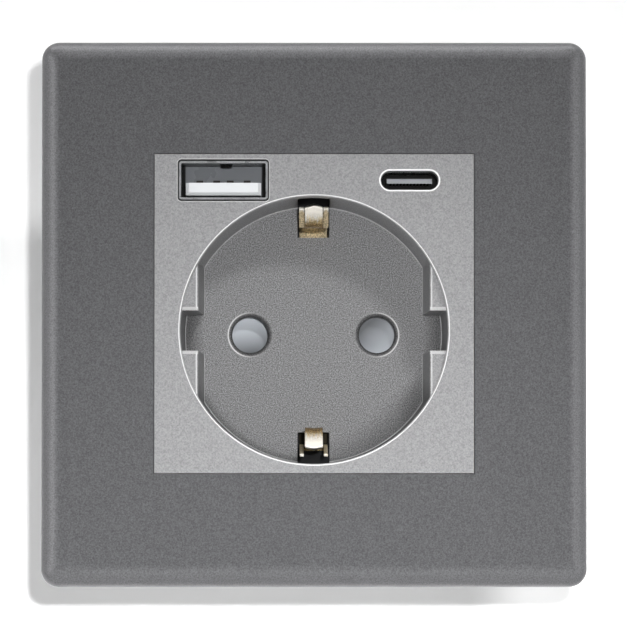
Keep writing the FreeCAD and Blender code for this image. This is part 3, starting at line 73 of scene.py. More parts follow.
# Painted highlights on the plate, as pale lines: start, end and softness in millimetres. They are radii of
# the well, the pin hole or a port's rounding, distances from the middle, or depths, of which the wall's
# plane is 0.
RIM_LINE = (19.89, 20.03, 0.02)
FLOOR_RING = (19.12, 19.40, 0.05)
PIN_RING = (3.20, 3.38, 0.04)
SMALL_PORT_LINE = (1.42, 1.65, 0.02)
WIDE_PORT_LINE = (0.61, 0.72, 0.02)
PAD_EDGE = (17.32, 17.46, 0.02)
NOTCH_EDGE = (2.95, 3.5, 0.03)
FLAT_FOOT = (16.30, 16.46, 0.03)
PAD_FRONT = (-9.15, -8.65, 0.06)

# Tones that finishes are mixed towards
BLACK = (0.0, 0.0, 0.0, 1.0)
HOLE_SHADE_BLACK = (0.01, 0.01, 0.01, 1.0)
PORT_BLACK = (0.008, 0.008, 0.008, 1.0)
HIGHLIGHT_WHITE = (0.93, 0.93, 0.93, 1.0)
BROWN = (0.30, 0.20, 0.11, 1.0)
TIP_HIGHLIGHT = (0.88, 0.85, 0.78, 1.0)
WHITE = (1.0, 1.0, 1.0, 1.0)


# Node helpers


def add_node(tree, kind, inputs=None, **settings):
    """A node of a kind, with its settings and the values or links of its inputs."""
    made = tree.nodes.new(kind)
    for name, value in settings.items():
        setattr(made, name, value)
    for name, value in (inputs or {}).items():
        join(tree, value, made.inputs[name])
    return made


def join(tree, value, socket):
    """Links an output to a socket, or sets the socket's own value."""
    if isinstance(value, bpy.types.NodeSocket):
        tree.links.new(value, socket)
    else:
        socket.default_value = value


def maths(tree, operation, first, second=0.0, clamp=False):
    """The result of one sum on values or links."""
    made = tree.nodes.new("ShaderNodeMath")
    made.operation = operation
    made.use_clamp = clamp
    join(tree, first, made.inputs[0])
    join(tree, second, made.inputs[1])
    return made.outputs[0]


def times(tree, first, *others):
    """The product of values or links."""
    for one in others:
        first = maths(tree, "MULTIPLY", first, one)
    return first


def about_half(tree, value, contrast):
    """A noise value's swing about one half, times a contrast."""
    return times(tree, maths(tree, "SUBTRACT", value, 0.5), contrast)


def mix_colour(tree, factor, first, second, blend="MIX"):
    """Two colours mixed by a factor, or blended another way."""
    made = tree.nodes.new("ShaderNodeMix")
    made.data_type = "RGBA"
    made.blend_type = blend
    join(tree, factor, made.inputs["Factor"])
    join(tree, first, made.inputs[6])
    join(tree, second, made.inputs[7])
    return made.outputs[2]


def grey(tree, tone):
    """A grey of one tone."""
    return add_node(tree, "ShaderNodeCombineColor", {"Red": tone, "Green": tone, "Blue": tone}).outputs[0]


def spread(tree, value, low, high, first, second):
    """Maps a value from one range to another, held at the ends."""
    made = tree.nodes.new("ShaderNodeMapRange")
    made.clamp = True
    for name, number in (
        ("Value", value),
        ("From Min", low),
        ("From Max", high),
        ("To Min", first),
        ("To Max", second),
    ):
        join(tree, number, made.inputs[name])
    return made.outputs[0]


def fade(tree, value, low, high, first, second):
    """Maps a length from one range in millimetres to another range of values."""
    return spread(tree, value, low * MM, high * MM, first, second)


def band(tree, value, low, high, soft):
    """1 between two lengths in millimetres, with soft ends."""
    rise = fade(tree, value, low - soft, low + soft, 0.0, 1.0)
    fall = fade(tree, value, high - soft, high + soft, 1.0, 0.0)
    return times(tree, rise, fall)


def place_of(tree):
    """The object coordinates."""
    return add_node(tree, "ShaderNodeTexCoord").outputs["Object"]


def axes_of(tree):
    """The object coordinates' three axes."""
    return add_node(tree, "ShaderNodeSeparateXYZ", {"Vector": place_of(tree)}).outputs


def noise(tree, place, scale, detail, roughness=0.5):
    """Noise with a scale in waves for each metre."""
    values = {"Vector": place, "Scale": scale, "Detail": detail, "Roughness": roughness}
    return add_node(tree, "ShaderNodeTexNoise", values).outputs["Fac"]


def outline_distance(tree, x, z, centre, half=(0.0, 0.0)):
    """Distance from a rectangle's core, seen from the front. A core without size gives a circle's radius."""
    parts = []
    for axis, middle, reach in ((x, centre[0], half[0]), (z, centre[1], half[1])):
        away = maths(tree, "ABSOLUTE", maths(tree, "SUBTRACT", axis, middle * MM))
        past = maths(tree, "MAXIMUM", maths(tree, "SUBTRACT", away, reach * MM), 0.0)
        parts.append(times(tree, past, past))
    return maths(tree, "SQRT", maths(tree, "ADD", *parts))


def any_of(tree, first, *others):
    """The strongest of several masks."""
    for one in others:
        first = maths(tree, "MAXIMUM", first, one)
    return first


def seen_directly(tree):
    """1 for rays from the camera, from a mirror or through glass."""
    path = tree.nodes.new("ShaderNodeLightPath").outputs
    return any_of(tree, path["Is Camera Ray"], path["Is Transmission Ray"], path["Is Glossy Ray"])


def effect_group(name, inputs):
    """A shader node group with named float inputs, which puts out tone, roughness shift and height."""
    tree = bpy.data.node_groups.new(name, "ShaderNodeTree")
    for label, value in inputs.items():
        socket = tree.interface.new_socket(label, in_out="INPUT", socket_type="NodeSocketFloat")
        socket.default_value = value
    for label in ("Tone", "Rough", "Height"):
        tree.interface.new_socket(label, in_out="OUTPUT", socket_type="NodeSocketFloat")
    return tree, tree.nodes.new("NodeGroupInput").outputs, tree.nodes.new("NodeGroupOutput")


def put_out(tree, result, tone_shift, rough, height):
    """Links a group's results. Tone is 1 plus its shift."""
    join(tree, maths(tree, "ADD", 1.0, tone_shift), result.inputs["Tone"])
    join(tree, rough, result.inputs["Rough"])
    join(tree, height, result.inputs["Height"])
    return tree


# Shared effects


def lacquer_grain_group():
    """Flakes and orange peel of a sprayed metallic lacquer."""
    tree, given, result = effect_group(
        "lacquer_grain", {"Flakes per mm": 4.0, "Flake contrast": 0.1, "Cloud contrast": 0.04}
    )
    place = place_of(tree)
    flakes = noise(tree, place, times(tree, given["Flakes per mm"], 1.0 / MM), 3.0, 0.75)
    clouds = noise(tree, place, 60.0, 4.0, 0.6)
    flake_shift = about_half(tree, flakes, given["Flake contrast"])
    cloud_shift = about_half(tree, clouds, given["Cloud contrast"])
    tone_shift = maths(tree, "ADD", flake_shift, cloud_shift)
    height = maths(tree, "ADD", flakes, times(tree, clouds, 0.5))
    return put_out(tree, result, tone_shift, maths(tree, "SUBTRACT", flakes, 0.5), height)


def drawn_metal_group():
    """Rolling lines and stains of sheet metal."""
    tree, given, result = effect_group("drawn_metal", {"Line contrast": 0.15, "Stain contrast": 0.2})
    place = place_of(tree)
    rolled = add_node(tree, "ShaderNodeMapping", {"Vector": place, "Scale": (5.0, 0.6, 0.6)}).outputs[0]
    lines = noise(tree, rolled, 1400.0, 3.0, 0.7)
    stains = noise(tree, place, 380.0, 5.0, 0.65)
    line_shift = about_half(tree, lines, given["Line contrast"])
    stain_shift = about_half(tree, stains, given["Stain contrast"])
    tone_shift = maths(tree, "ADD", line_shift, stain_shift)
    return put_out(tree, result, tone_shift, maths(tree, "SUBTRACT", stains, 0.5), lines)


def moulded_skin_group():
    """Spark-eroded skin of a moulding."""
    tree, given, result = effect_group("moulded_skin", {"Pits per mm": 3.0, "Contrast": 0.08})
    place = place_of(tree)
    scale = times(tree, given["Pits per mm"], 1.0 / MM)
    pits = add_node(tree, "ShaderNodeTexVoronoi", {"Vector": place, "Scale": scale}).outputs["Distance"]
    flow = noise(tree, place, 90.0, 4.0, 0.6)
    tone_shift = about_half(tree, flow, given["Contrast"])
    return put_out(tree, result, tone_shift, maths(tree, "SUBTRACT", flow, 0.5), pits)


GROUPS = {}
GRAIN_DEPTH = 0.02 * MM


def effect(tree, name, **values):
    """Places a shared effect in a material with its own values."""
    made = tree.nodes.new("ShaderNodeGroup")
    made.node_tree = GROUPS[name]
    for label, value in values.items():
        made.inputs[label.replace("_", " ")].default_value = value
    return made.outputs


def finish_material(name, colour, grain, rough=0.4, swing=0.1, bump=0.1, **shader_values):
    """A Principled finish whose colour, roughness and bump come from a shared effect's outputs."""
    material = bpy.data.materials.new(name)
    material.use_nodes = True
    tree = material.node_tree
    shader = tree.nodes["Principled BSDF"]
    out = effect(tree, **grain)
    tinted = mix_colour(tree, 1.0, (*colour, 1.0), grey(tree, out["Tone"]), "MULTIPLY")
    join(tree, tinted, shader.inputs["Base Color"])
    roughness = maths(tree, "ADD", rough, times(tree, out["Rough"], swing), clamp=True)
    join(tree, roughness, shader.inputs["Roughness"])
    relief = {"Height": out["Height"], "Strength": bump, "Distance": GRAIN_DEPTH}
    join(tree, add_node(tree, "ShaderNodeBump", relief).outputs[0], shader.inputs["Normal"])
    for label, value in shader_values.items():
        shader.inputs[label.replace("_", " ")].default_value = value
    return material


def finish_parts(material):
    """A finish's node tree, its shader and what its base colour comes from."""
    tree = material.node_tree
    shader = tree.nodes["Principled BSDF"]
    return tree, shader, shader.inputs["Base Color"].links[0].from_socket


def painted_depth_shade(material, near_y, far_y, colour):
    """Painted shade: darkens a finish from one depth to another, standing in for the shade deep inside a
    port.
    """
    tree, shader, old = finish_parts(material)
    factor = fade(tree, axes_of(tree)["Y"], near_y, far_y, 0.0, 1.0)
    join(tree, mix_colour(tree, factor, old, (*colour, 1.0)), shader.inputs["Base Color"])


def soft_shoulder(material):
    """Eases the frame's flat face into its rounding: height falls by 0.4 mm along a smooth step that
    starts 3.4 mm in from the outline and ends 0.6 mm in."""
    tree = material.node_tree
    shader = tree.nodes["Principled BSDF"]
    axes = axes_of(tree)
    core = FRAME_HALF / MM - 4.5
    distance = outline_distance(tree, axes["X"], axes["Z"], (0.0, 0.0), (core, core))
    step = tree.nodes.new("ShaderNodeMapRange")
    step.interpolation_type = "SMOOTHSTEP"
    ends = {"Value": distance, "From Min": 1.1 * MM, "From Max": 3.9 * MM, "To Min": 1.0, "To Max": 0.0}
    for name, value in ends.items():
        join(tree, value, step.inputs[name])
    grain = shader.inputs["Normal"].links[0].from_socket
    relief = {"Height": step.outputs[0], "Strength": 1.0, "Distance": 0.4 * MM, "Normal": grain}
    join(tree, add_node(tree, "ShaderNodeBump", relief).outputs[0], shader.inputs["Normal"])


def painted_plate_light(material):
    """The plate's lacquer by place, with painted light. Pale lines are painted highlights: on the rims of
    the well and the small port and on the pads' edges, and fainter round the floor, the pin holes, the
    notches and the wide port.
    Painted shade darkens the well's inside, most of all on its lower wall and towards the right, in the
    notches and on the flats, and the inside has a coarser grain. The walls of the ports and the pin holes
    are painted black as shade."""
    tree, shader, lacquer = finish_parts(material)
    x, y, z = axes_of(tree)
    radius = outline_distance(tree, x, z, WELL)
    side = maths(tree, "ABSOLUTE", x)
    height = maths(tree, "SUBTRACT", z, WELL[1] * MM)
    off_middle = maths(tree, "ABSOLUTE", height)
    wide_port = outline_distance(tree, x, z, WIDE_PORT, WIDE_PORT_HALF)
    small_port = outline_distance(tree, x, z, SMALL_PORT, SMALL_PORT_HALF)
    pin = outline_distance(tree, side, z, PIN_HOLE)
    face = fade(tree, y, -10.9, -10.8, 1.0, 0.0)
    inside = times(tree, fade(tree, y, -9.0, -8.4, 0.0, 1.0), fade(tree, radius, 20.2, 20.4, 1.0, 0.0))
    floor = fade(tree, y, 5.7, 6.1, 0.0, 1.0)
    pad_front = band(tree, y, *PAD_FRONT)
    past_notch = fade(tree, off_middle, 2.9, 3.1, 0.0, 1.0)
    # Painted highlights: pale lines along the rims and edges, strong ones first and faint ones after
    bright = any_of(
        tree,
        times(tree, band(tree, radius, *RIM_LINE), face, 0.8),
        times(tree, band(tree, small_port, *SMALL_PORT_LINE), face),
        times(tree, band(tree, side, *PAD_EDGE), pad_front, 0.65),
    )
    faint = any_of(
        tree,
        times(tree, band(tree, wide_port, *WIDE_PORT_LINE), face),
        times(tree, band(tree, radius, *FLOOR_RING), floor),
        times(tree, band(tree, pin, *PIN_RING), floor, fade(tree, side, 8.0, 11.5, 0.3, 2.2)),
        times(tree, band(tree, off_middle, *NOTCH_EDGE), pad_front, 1.6),
        times(tree, band(tree, side, *FLAT_FOOT), floor, past_notch),
    )
    edge_highlight = any_of(tree, bright, times(tree, faint, 0.3))

    # Painted shade in the well: darker near the wall and across the floor towards the lower right, in the
    # notches and on the flats, and a little all over inside
    near_wall = fade(tree, radius, 17.4, 19.3, 0.0, 0.72)
    to_the_right = fade(tree, x, -2.0, 9.0, 0.55, 1.0)
    round_floor = times(tree, fade(tree, radius, 12.5, 19.0, 0.0, 0.62), to_the_right)
    low_wall = times(tree, any_of(tree, near_wall, round_floor), fade(tree, height, -9.0, 0.0, 1.0, 0.0))
    within_notch = fade(tree, off_middle, 2.8, 3.0, 1.0, 0.0)
    in_notch = times(tree, fade(tree, side, 15.0, 18.6, 0.0, 0.6), within_notch)
    flats = times(tree, fade(tree, side, 16.42, 16.6, 0.0, 0.4), past_notch)
    shade = any_of(tree, low_wall, in_notch, flats, 0.22)
    dark = mix_colour(tree, times(tree, inside, shade), lacquer, BLACK)

    # Painted shade: the walls of the ports and the pin holes are black
    walls = any_of(
        tree,
        fade(tree, wide_port, 0.56, 0.60, 1.0, 0.0),
        fade(tree, small_port, 1.38, 1.42, 1.0, 0.0),
        times(tree, fade(tree, pin, 3.12, 3.18, 1.0, 0.0), fade(tree, y, 6.3, 6.9, 0.0, 0.8)),
    )
    dark = mix_colour(tree, walls, dark, HOLE_SHADE_BLACK)
    swing = about_half(tree, noise(tree, place_of(tree), 6200.0, 2.0), times(tree, inside, 3.2))
    gritty = mix_colour(tree, 1.0, dark, grey(tree, maths(tree, "ADD", 1.0, swing)), "MULTIPLY")
    join(tree, mix_colour(tree, edge_highlight, gritty, HIGHLIGHT_WHITE), shader.inputs["Base Color"])
    metal = times(tree, maths(tree, "SUBTRACT", 1.0, edge_highlight), shader.inputs["Metallic"].default_value)
    join(tree, metal, shader.inputs["Metallic"])


def painted_lip_highlight(material, far_y, colour):
    """Painted highlight: lightens a port's front lip and makes it less metallic."""
    tree, shader, old = finish_parts(material)
    lip = fade(tree, axes_of(tree)["Y"], far_y - 0.05, far_y + 0.05, 1.0, 0.0)
    join(tree, mix_colour(tree, lip, old, (*colour, 1.0)), shader.inputs["Base Color"])
    join(tree, spread(tree, lip, 0.0, 1.0, 1.0, 0.35), shader.inputs["Metallic"])


def dark_beside_tongue(material):
    """The wide port's root is black beside and below the tongue, where no light reaches it."""
    tree, shader, old = finish_parts(material)
    axes = axes_of(tree)
    away = maths(tree, "ABSOLUTE", maths(tree, "SUBTRACT", axes["X"], WIDE_PORT[0] * MM))
    beside = fade(tree, away, 5.56, 5.75, 0.0, 1.0)
    below = fade(tree, axes["Z"], 17.35, 17.5, 1.0, 0.0)
    deep = fade(tree, axes["Y"], -6.0, -5.0, 0.0, 1.0)
    dark = times(tree, any_of(tree, beside, below), deep)
    join(tree, mix_colour(tree, dark, old, PORT_BLACK), shader.inputs["Base Color"])


def painted_lobe_shading(material):
    """Painted light and shade on the two shutter lobes, which slope opposite ways: the left one is painted
    pale at its upper edge and the right one at its lower right edge. Tone is a level plus a swing times the
    distance across the lobe."""
    tree, shader, old = finish_parts(material)
    axes = axes_of(tree)
    hand = maths(tree, "SIGN", axes["X"])

    def by_hand(left, right):
        return fade(tree, axes["X"], -1.0, 1.0, left, right)

    out = maths(tree, "SUBTRACT", maths(tree, "ABSOLUTE", axes["X"]), PIN_HOLE[0] * MM)
    up = times(tree, maths(tree, "SUBTRACT", axes["Z"], WELL[1] * MM), hand)
    lobe_length = 3.6 * MM
    sideways = times(tree, out, by_hand(0.12, 1.0))
    across = times(tree, maths(tree, "SUBTRACT", sideways, up), 1.0 / lobe_length)
    # Painted light and shade: a level plus a swing across the lobe
    slope = maths(tree, "ADD", by_hand(0.88, 0.66), times(tree, across, by_hand(0.85, 0.45)))
    tone = any_of(tree, slope, 0.3)
    join(tree, mix_colour(tree, 1.0, old, grey(tree, tone), "MULTIPLY"), shader.inputs["Base Color"])


def contact_tones(material, tip_highlight_from, tip_highlight_to, browning, metallic):
    """Earth contacts: pale, less metallic and with ragged streaks near the tip, which is a painted
    highlight, brown on the bend, and speckled further in."""
    tree, shader, old = finish_parts(material)
    y = axes_of(tree)["Y"]
    place = place_of(tree)
    tip = fade(tree, y, tip_highlight_from, tip_highlight_to, 1.0, 0.0)
    bend = band(tree, y, -2.9, 0.4, 0.6)
    drawn_out = add_node(tree, "ShaderNodeMapping", {"Vector": place, "Scale": (4.0, 0.5, 0.5)}).outputs[0]
    streaks = noise(tree, drawn_out, 900.0, 2.0)
    specks = noise(tree, place, 4200.0, 1.0)
    ragged = maths(tree, "ADD", tip, about_half(tree, streaks, 1.6))
    # Painted highlight: the tip is pale and less metallic, with ragged streaks
    tip_highlight = times(tree, spread(tree, ragged, 0.15, 0.65, 0.0, 1.0), spread(tree, tip, 0.0, 0.3, 0.0, 1.0))
    brown = mix_colour(tree, times(tree, bend, browning), old, BROWN)
    pale = mix_colour(tree, times(tree, tip_highlight, 0.95), brown, TIP_HIGHLIGHT)
    speck = spread(tree, specks, 0.38, 0.62, 0.6, 1.25)
    tone = maths(tree, "ADD", speck, times(tree, tip, maths(tree, "SUBTRACT", 1.0, speck)))
    join(tree, mix_colour(tree, 1.0, pale, grey(tree, tone), "MULTIPLY"), shader.inputs["Base Color"])
    join(tree, spread(tree, tip, 0.0, 1.0, metallic, 0.15), shader.inputs["Metallic"])


# Settings that a user would change


class SocketFinishes(bpy.types.PropertyGroup):
    """Colours and grain of the socket's finishes"""

    frame_colour: bpy.props.FloatVectorProperty(
        name="Frame colour",
        description="Lacquer of the cover frame",
        subtype="COLOR",
        default=(0.114, 0.114, 0.119),
    )
    plate_colour: bpy.props.FloatVectorProperty(
        name="Plate colour",
        description="Lacquer of the centre plate",
        subtype="COLOR",
        default=(0.338, 0.338, 0.344),
    )
    shutter_colour: bpy.props.FloatVectorProperty(
        name="Shutter colour",
        description="Plastic of the shutter",
        subtype="COLOR",
        default=(0.365, 0.385, 0.412),
    )
    brass_colour: bpy.props.FloatVectorProperty(
        name="Brass colour",
        description="Metal of the earth contacts",
        subtype="COLOR",
        default=(0.80, 0.62, 0.33),
    )
    base_colour: bpy.props.FloatVectorProperty(
        name="Base colour",
        description="Moulding behind the wall",
        subtype="COLOR",
        default=(0.015, 0.015, 0.016),
    )
    flakes: bpy.props.FloatProperty(
        name="Flakes", description="Lacquer flakes for each millimetre", default=4.6, min=1.0, max=20.0
    )


class SocketStage(bpy.types.PropertyGroup):
    """Camera and light of the stage"""

    distance: bpy.props.FloatProperty(
        name="Camera distance", description="From the plate's middle", default=1.0, unit="LENGTH"
    )
    below: bpy.props.FloatProperty(
        name="Below", description="How far the camera looks up", default=math.radians(2.65), subtype="ANGLE"
    )
    left: bpy.props.FloatProperty(
        name="Left",
        description="How far the camera stands to the left",
        default=math.radians(0.34),
        subtype="ANGLE",
    )
    lens: bpy.props.FloatProperty(name="Lens", description="Focal length", default=387.6, unit="CAMERA")
    key: bpy.props.FloatProperty(
        name="Key", description="Power of the lamp that draws the shadow", default=20.0
    )
    low_light: bpy.props.FloatProperty(
        name="Low light", description="Power of the spot that lights the lower half more", default=24.0
    )
    high_light: bpy.props.FloatProperty(
        name="High light", description="Power of the spot from the upper right", default=55.0
    )
    world: bpy.props.FloatProperty(name="World", description="Strength of the light all round", default=0.02)


# Meshes worked out as grids

# Share of the shorter run that a bend takes up, and points along a bend and along a whole path
BEND_SHARE = 0.6
BEND_POINTS = 9
PATH_POINTS = 240

# A strip's points along it and round its section, and the power that flattens the section's long faces
STRIP_ROWS = 60
SECTION_POINTS = 40
FLATNESS = 0.35

# A thread's points round the shank and along one turn
THREAD_POINTS = 36
TURN_POINTS = 8


def tube_from_grid(name, points):
    """A closed mesh of quads between neighbouring grid points. Each row is a ring, and the first and the
    last ring are each closed by one face."""
    rows, columns = points.shape[:2]
    index = np.arange(rows * columns).reshape(rows, columns)
    above = index[:-1]
    below = index[1:]
    corners = (above, np.roll(above, -1, axis=1), np.roll(below, -1, axis=1), below)
    quads = np.stack([corner.reshape(-1) for corner in corners], axis=1)
    faces = quads.tolist()
    faces.append(index[0][::-1].tolist())
    faces.append(index[-1].tolist())
    mesh = bpy.data.meshes.new(name)
    mesh.from_pydata(points.reshape(-1, 3).tolist(), [], faces)
    mesh.shade_smooth()
    piece = bpy.data.objects.new(name, mesh)
    bpy.context.scene.collection.objects.link(piece)
    return piece


def outward(piece):
    """Turns a closed mesh's faces outwards."""
    work = bmesh.new()
    work.from_mesh(piece.data)
    bmesh.ops.recalc_face_normals(work, faces=work.faces)
    work.to_mesh(piece.data)
    work.free()
    return piece


def smooth_path(corners):
    """Evenly spaced points along a path of straight runs and bends. A bend is a quadratic curve that
    starts before its corner and ends behind it, by half the bend's share of the shorter run."""
    corners = np.asarray(corners, dtype=float)
    pieces = [corners[:1]]
    for i in range(1, len(corners) - 1):
        before = corners[i - 1] - corners[i]
        after = corners[i + 1] - corners[i]
        cut = BEND_SHARE * 0.5 * min(np.linalg.norm(before), np.linalg.norm(after))
        start = corners[i] + before / np.linalg.norm(before) * cut
        end = corners[i] + after / np.linalg.norm(after) * cut
        t = np.linspace(0.0, 1.0, BEND_POINTS)[:, None]
        pieces.append((1 - t) ** 2 * start + 2 * (1 - t) * t * corners[i] + t**2 * end)
    pieces.append(corners[-1:])
    dense = np.concatenate(pieces)
    steps = np.concatenate([[0.0], np.cumsum(np.linalg.norm(np.diff(dense, axis=0), axis=1))])
    wanted = np.linspace(0.0, steps[-1], PATH_POINTS)
    return np.stack([np.interp(wanted, steps, dense[:, k]) for k in range(dense.shape[1])], axis=1)


def spring_strip(name, corners, half_width, thick, centre_x, mirror, peak=0.0, crown=0.0):
    """A sheet-metal strip carried along a smooth path in the height and depth plane.

    The section is a rounded bar: x = half width times a rounded cosine, offset = half the metal times
    a rounded sine, both to a low power so that the long faces stay flat. The path of each point ends
    earlier by peak times its distance from the middle line, which makes a pointed tip. The crown lifts
    the middle of the face by a parabola across the width."""
    path = smooth_path(corners)
    lengths = np.concatenate([[0.0], np.cumsum(np.linalg.norm(np.diff(path, axis=0), axis=1))])
    total = lengths[-1]
    around = np.linspace(0.0, 2 * math.pi, SECTION_POINTS, endpoint=False)
    wave_x = np.sign(np.cos(around)) * np.abs(np.cos(around)) ** FLATNESS
    wave_n = np.sign(np.sin(around)) * np.abs(np.sin(around)) ** FLATNESS
    share = np.linspace(0.0, 1.0, STRIP_ROWS)[:, None]
    reach = total - peak * np.abs(wave_x)[None, :]
    along = share * reach
    height = np.interp(along, lengths, path[:, 0])
    depth = np.interp(along, lengths, path[:, 1])
    slope_h = np.interp(along, lengths, np.gradient(path[:, 0], lengths))
    slope_d = np.interp(along, lengths, np.gradient(path[:, 1], lengths))
    size = np.hypot(slope_h, slope_d)
    lift = wave_n[None, :] * thick / 2 + crown * (1 - wave_x[None, :] ** 2)
    x = centre_x + half_width * wave_x[None, :] + 0 * along
    height = height + lift * slope_d / size
    depth = depth - lift * slope_h / size
    points = np.stack([x, depth, STRAP_MIDDLE_Z / MM + mirror * height], axis=2) * MM
    return outward(tube_from_grid(name, points))


def thread_piece(name, centre, axis, radius, depth, pitch, start, end):
    """A screw's thread round its shank: radius = outer radius less depth times a triangle wave of the
    place along the axis and the angle. The groove runs out over two turns at both ends."""
    around = np.linspace(0.0, 2 * math.pi, THREAD_POINTS, endpoint=False)[None, :]
    rows = int(abs(end - start) / pitch * TURN_POINTS) + 1
    places = np.linspace(start, end, rows)[:, None]
    phase = places / pitch - around / (2 * math.pi)
    wave = np.abs(2 * (phase - np.floor(phase + 0.5)))
    taper = np.clip(np.minimum(places - start, end - places) / (2 * pitch), 0, 1)
    r = radius - depth * wave * taper
    ring = np.stack([r * np.cos(around), r * np.sin(around), places + 0 * around], axis=2)
    if axis == "y":
        points = np.stack([centre[0] + ring[..., 0], ring[..., 2], centre[1] + ring[..., 1]], axis=2)
    else:
        points = np.stack([centre[0] + ring[..., 0], centre[1] + ring[..., 1], ring[..., 2]], axis=2)
    return outward(tube_from_grid(name, points * MM))


def paint(name, material):
    """Gives a CAD node's material slots one finish."""
    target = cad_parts[name]
    if not target.material_slots:
        target.data.materials.append(material)
    for one in target.material_slots:
        one.material = material


def dress(piece, material, body="insert"):
    """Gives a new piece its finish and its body."""
    piece.data.materials.append(material)
    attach(piece, body)
    return piece


class SOCKET_OT_effects(bpy.types.Operator):
    """Build the node groups that the finishes share"""

    bl_idname = "socket.effects"
    bl_label = "Shared effects"

    def execute(self, context):
        GROUPS["lacquer"] = lacquer_grain_group()
        GROUPS["metal"] = drawn_metal_group()
        GROUPS["skin"] = moulded_skin_group()
        return {"FINISHED"}


MATERIALS = {}


class SOCKET_OT_finishes(bpy.types.Operator):
    """Build every finish and paint the frame's nodes with them"""

    bl_idname = "socket.finishes"
    bl_label = "Finishes"

    def execute(self, context):
        chosen = context.scene.socket_finishes
        lacquer = {"name": "lacquer", "Flakes_per_mm": chosen.flakes}
        skin = {"name": "skin"}
        metal = {"name": "metal"}
        MATERIALS["frame"] = finish_material(
            "frame_lacquer_finish",
            tuple(chosen.frame_colour),
            {**lacquer, "Flake_contrast": 2.2, "Cloud_contrast": 0.06},
            rough=0.42,
            swing=0.2,
            bump=0.16,
            Metallic=0.4,
        )
        soft_shoulder(MATERIALS["frame"])
        MATERIALS["plate"] = finish_material(
            "plate_lacquer_finish",
            tuple(chosen.plate_colour),
            {**lacquer, "Flake_contrast": 1.5, "Cloud_contrast": 0.05},
            rough=0.40,
            swing=0.2,
            bump=0.2,
            Metallic=0.4,
        )
        # Painted highlights on the plate's edges, and painted shade in its well and openings
        painted_plate_light(MATERIALS["plate"])
        MATERIALS["shutter"] = finish_material(
            "shutter_plastic", tuple(chosen.shutter_colour), skin, rough=0.3, bump=0.05
        )
        # Painted light and shade on the shutter lobes
        painted_lobe_shading(MATERIALS["shutter"])
        MATERIALS["base"] = finish_material(
            "base_plastic_finish", tuple(chosen.base_colour), skin, rough=0.38
        )
        MATERIALS["black"] = finish_material("carrier_plastic", (0.02, 0.02, 0.021), skin, rough=0.35)
        MATERIALS["white"] = finish_material(
            "white_tongue_plastic", (0.62, 0.635, 0.65), skin, rough=0.28, bump=0.04
        )
        # Painted shade towards the root of the wide port's tongue
        painted_depth_shade(MATERIALS["white"], -4.0, -3.6, (0.20, 0.21, 0.225))
        dark_beside_tongue(MATERIALS["white"])
        MATERIALS["grey"] = finish_material(
            "grey_tongue_plastic", (0.30, 0.31, 0.33), skin, rough=0.35, bump=0.04
        )
        # Painted shade towards the root of the small port's tongue
        painted_depth_shade(MATERIALS["grey"], -4.2, -3.4, (0.012, 0.012, 0.012))
        MATERIALS["brass"] = finish_material(
            "brass_finish", tuple(chosen.brass_colour), metal, rough=0.24, swing=0.25, bump=0.1, Metallic=1.0
        )
        contact_tones(MATERIALS["brass"], -4.3, -2.5, 0.75, 0.85)
        MATERIALS["arm"] = finish_material(
            "brass_arm_finish", (0.66, 0.55, 0.36), metal, rough=0.3, swing=0.25, bump=0.1, Metallic=0.45
        )
        contact_tones(MATERIALS["arm"], -3.6, -2.7, 0.12, 0.35)
        # Painted shade: dark brass for the lower half of the earth bridge, which lies in shade
        MATERIALS["painted_shade_brass"] = finish_material(
            "painted_shade_brass_finish", (0.03, 0.026, 0.018), metal, rough=0.5
        )
        MATERIALS["gold"] = finish_material(
            "gold_flash", (0.85, 0.66, 0.32), metal, rough=0.22, bump=0.05, Metallic=1.0
        )
        MATERIALS["port_steel"] = finish_material(
            "port_steel_finish", (0.56, 0.57, 0.59), metal, rough=0.26, swing=0.3, bump=0.12, Metallic=1.0
        )
        # Painted shade deep inside the small port's shell
        painted_depth_shade(MATERIALS["port_steel"], -10.4, -7.0, (0.015, 0.015, 0.015))
        # Painted highlight on the small port shell's lip
        painted_lip_highlight(MATERIALS["port_steel"], -10.75, (0.88, 0.88, 0.88))
        MATERIALS["folded_steel"] = finish_material(
            "folded_steel_finish",
            (0.40, 0.41, 0.42),
            {**metal, "Stain_contrast": 1.6, "Line_contrast": 0.8},
            rough=0.3,
            swing=0.3,
            bump=0.12,
            Metallic=0.6,
        )
        # Painted shade deep inside the wide port's shell
        painted_depth_shade(MATERIALS["folded_steel"], -10.5, -8.5, (0.012, 0.012, 0.012))
        MATERIALS["zinc"] = finish_material(
            "zinc_plate", (0.62, 0.64, 0.67), metal, rough=0.30, swing=0.3, bump=0.12, Metallic=1.0
        )
        MATERIALS["board"] = finish_material(
            "solder_mask", (0.02, 0.13, 0.05), skin, rough=0.32, bump=0.08, Coat_Weight=0.3
        )
        MATERIALS["ferrite"] = finish_material(
            "ferrite_finish", (0.03, 0.03, 0.032), skin, rough=0.6, bump=0.3
        )
        MATERIALS["tape"] = finish_material("winding_tape_finish", (0.80, 0.52, 0.06), skin, rough=0.3)
        MATERIALS["can"] = finish_material("can_sleeve", (0.05, 0.06, 0.09), skin, rough=0.3)
        MATERIALS["cement"] = finish_material("resistor_cement", (0.30, 0.40, 0.36), skin, rough=0.6)
        MATERIALS["spring"] = finish_material("spring_wire", (0.5, 0.5, 0.5), metal, rough=0.3, Metallic=1.0)
        # Painted shade: the ports' gold contacts are near black, standing in for the shade they lie in
        MATERIALS["shaded_gold"] = finish_material(
            "painted_shade_gold_flash", (0.014, 0.012, 0.010), metal, rough=0.5
        )
        for name, key in NODE_FINISHES.items():
            paint(name, MATERIALS[key])
        return {"FINISHED"}


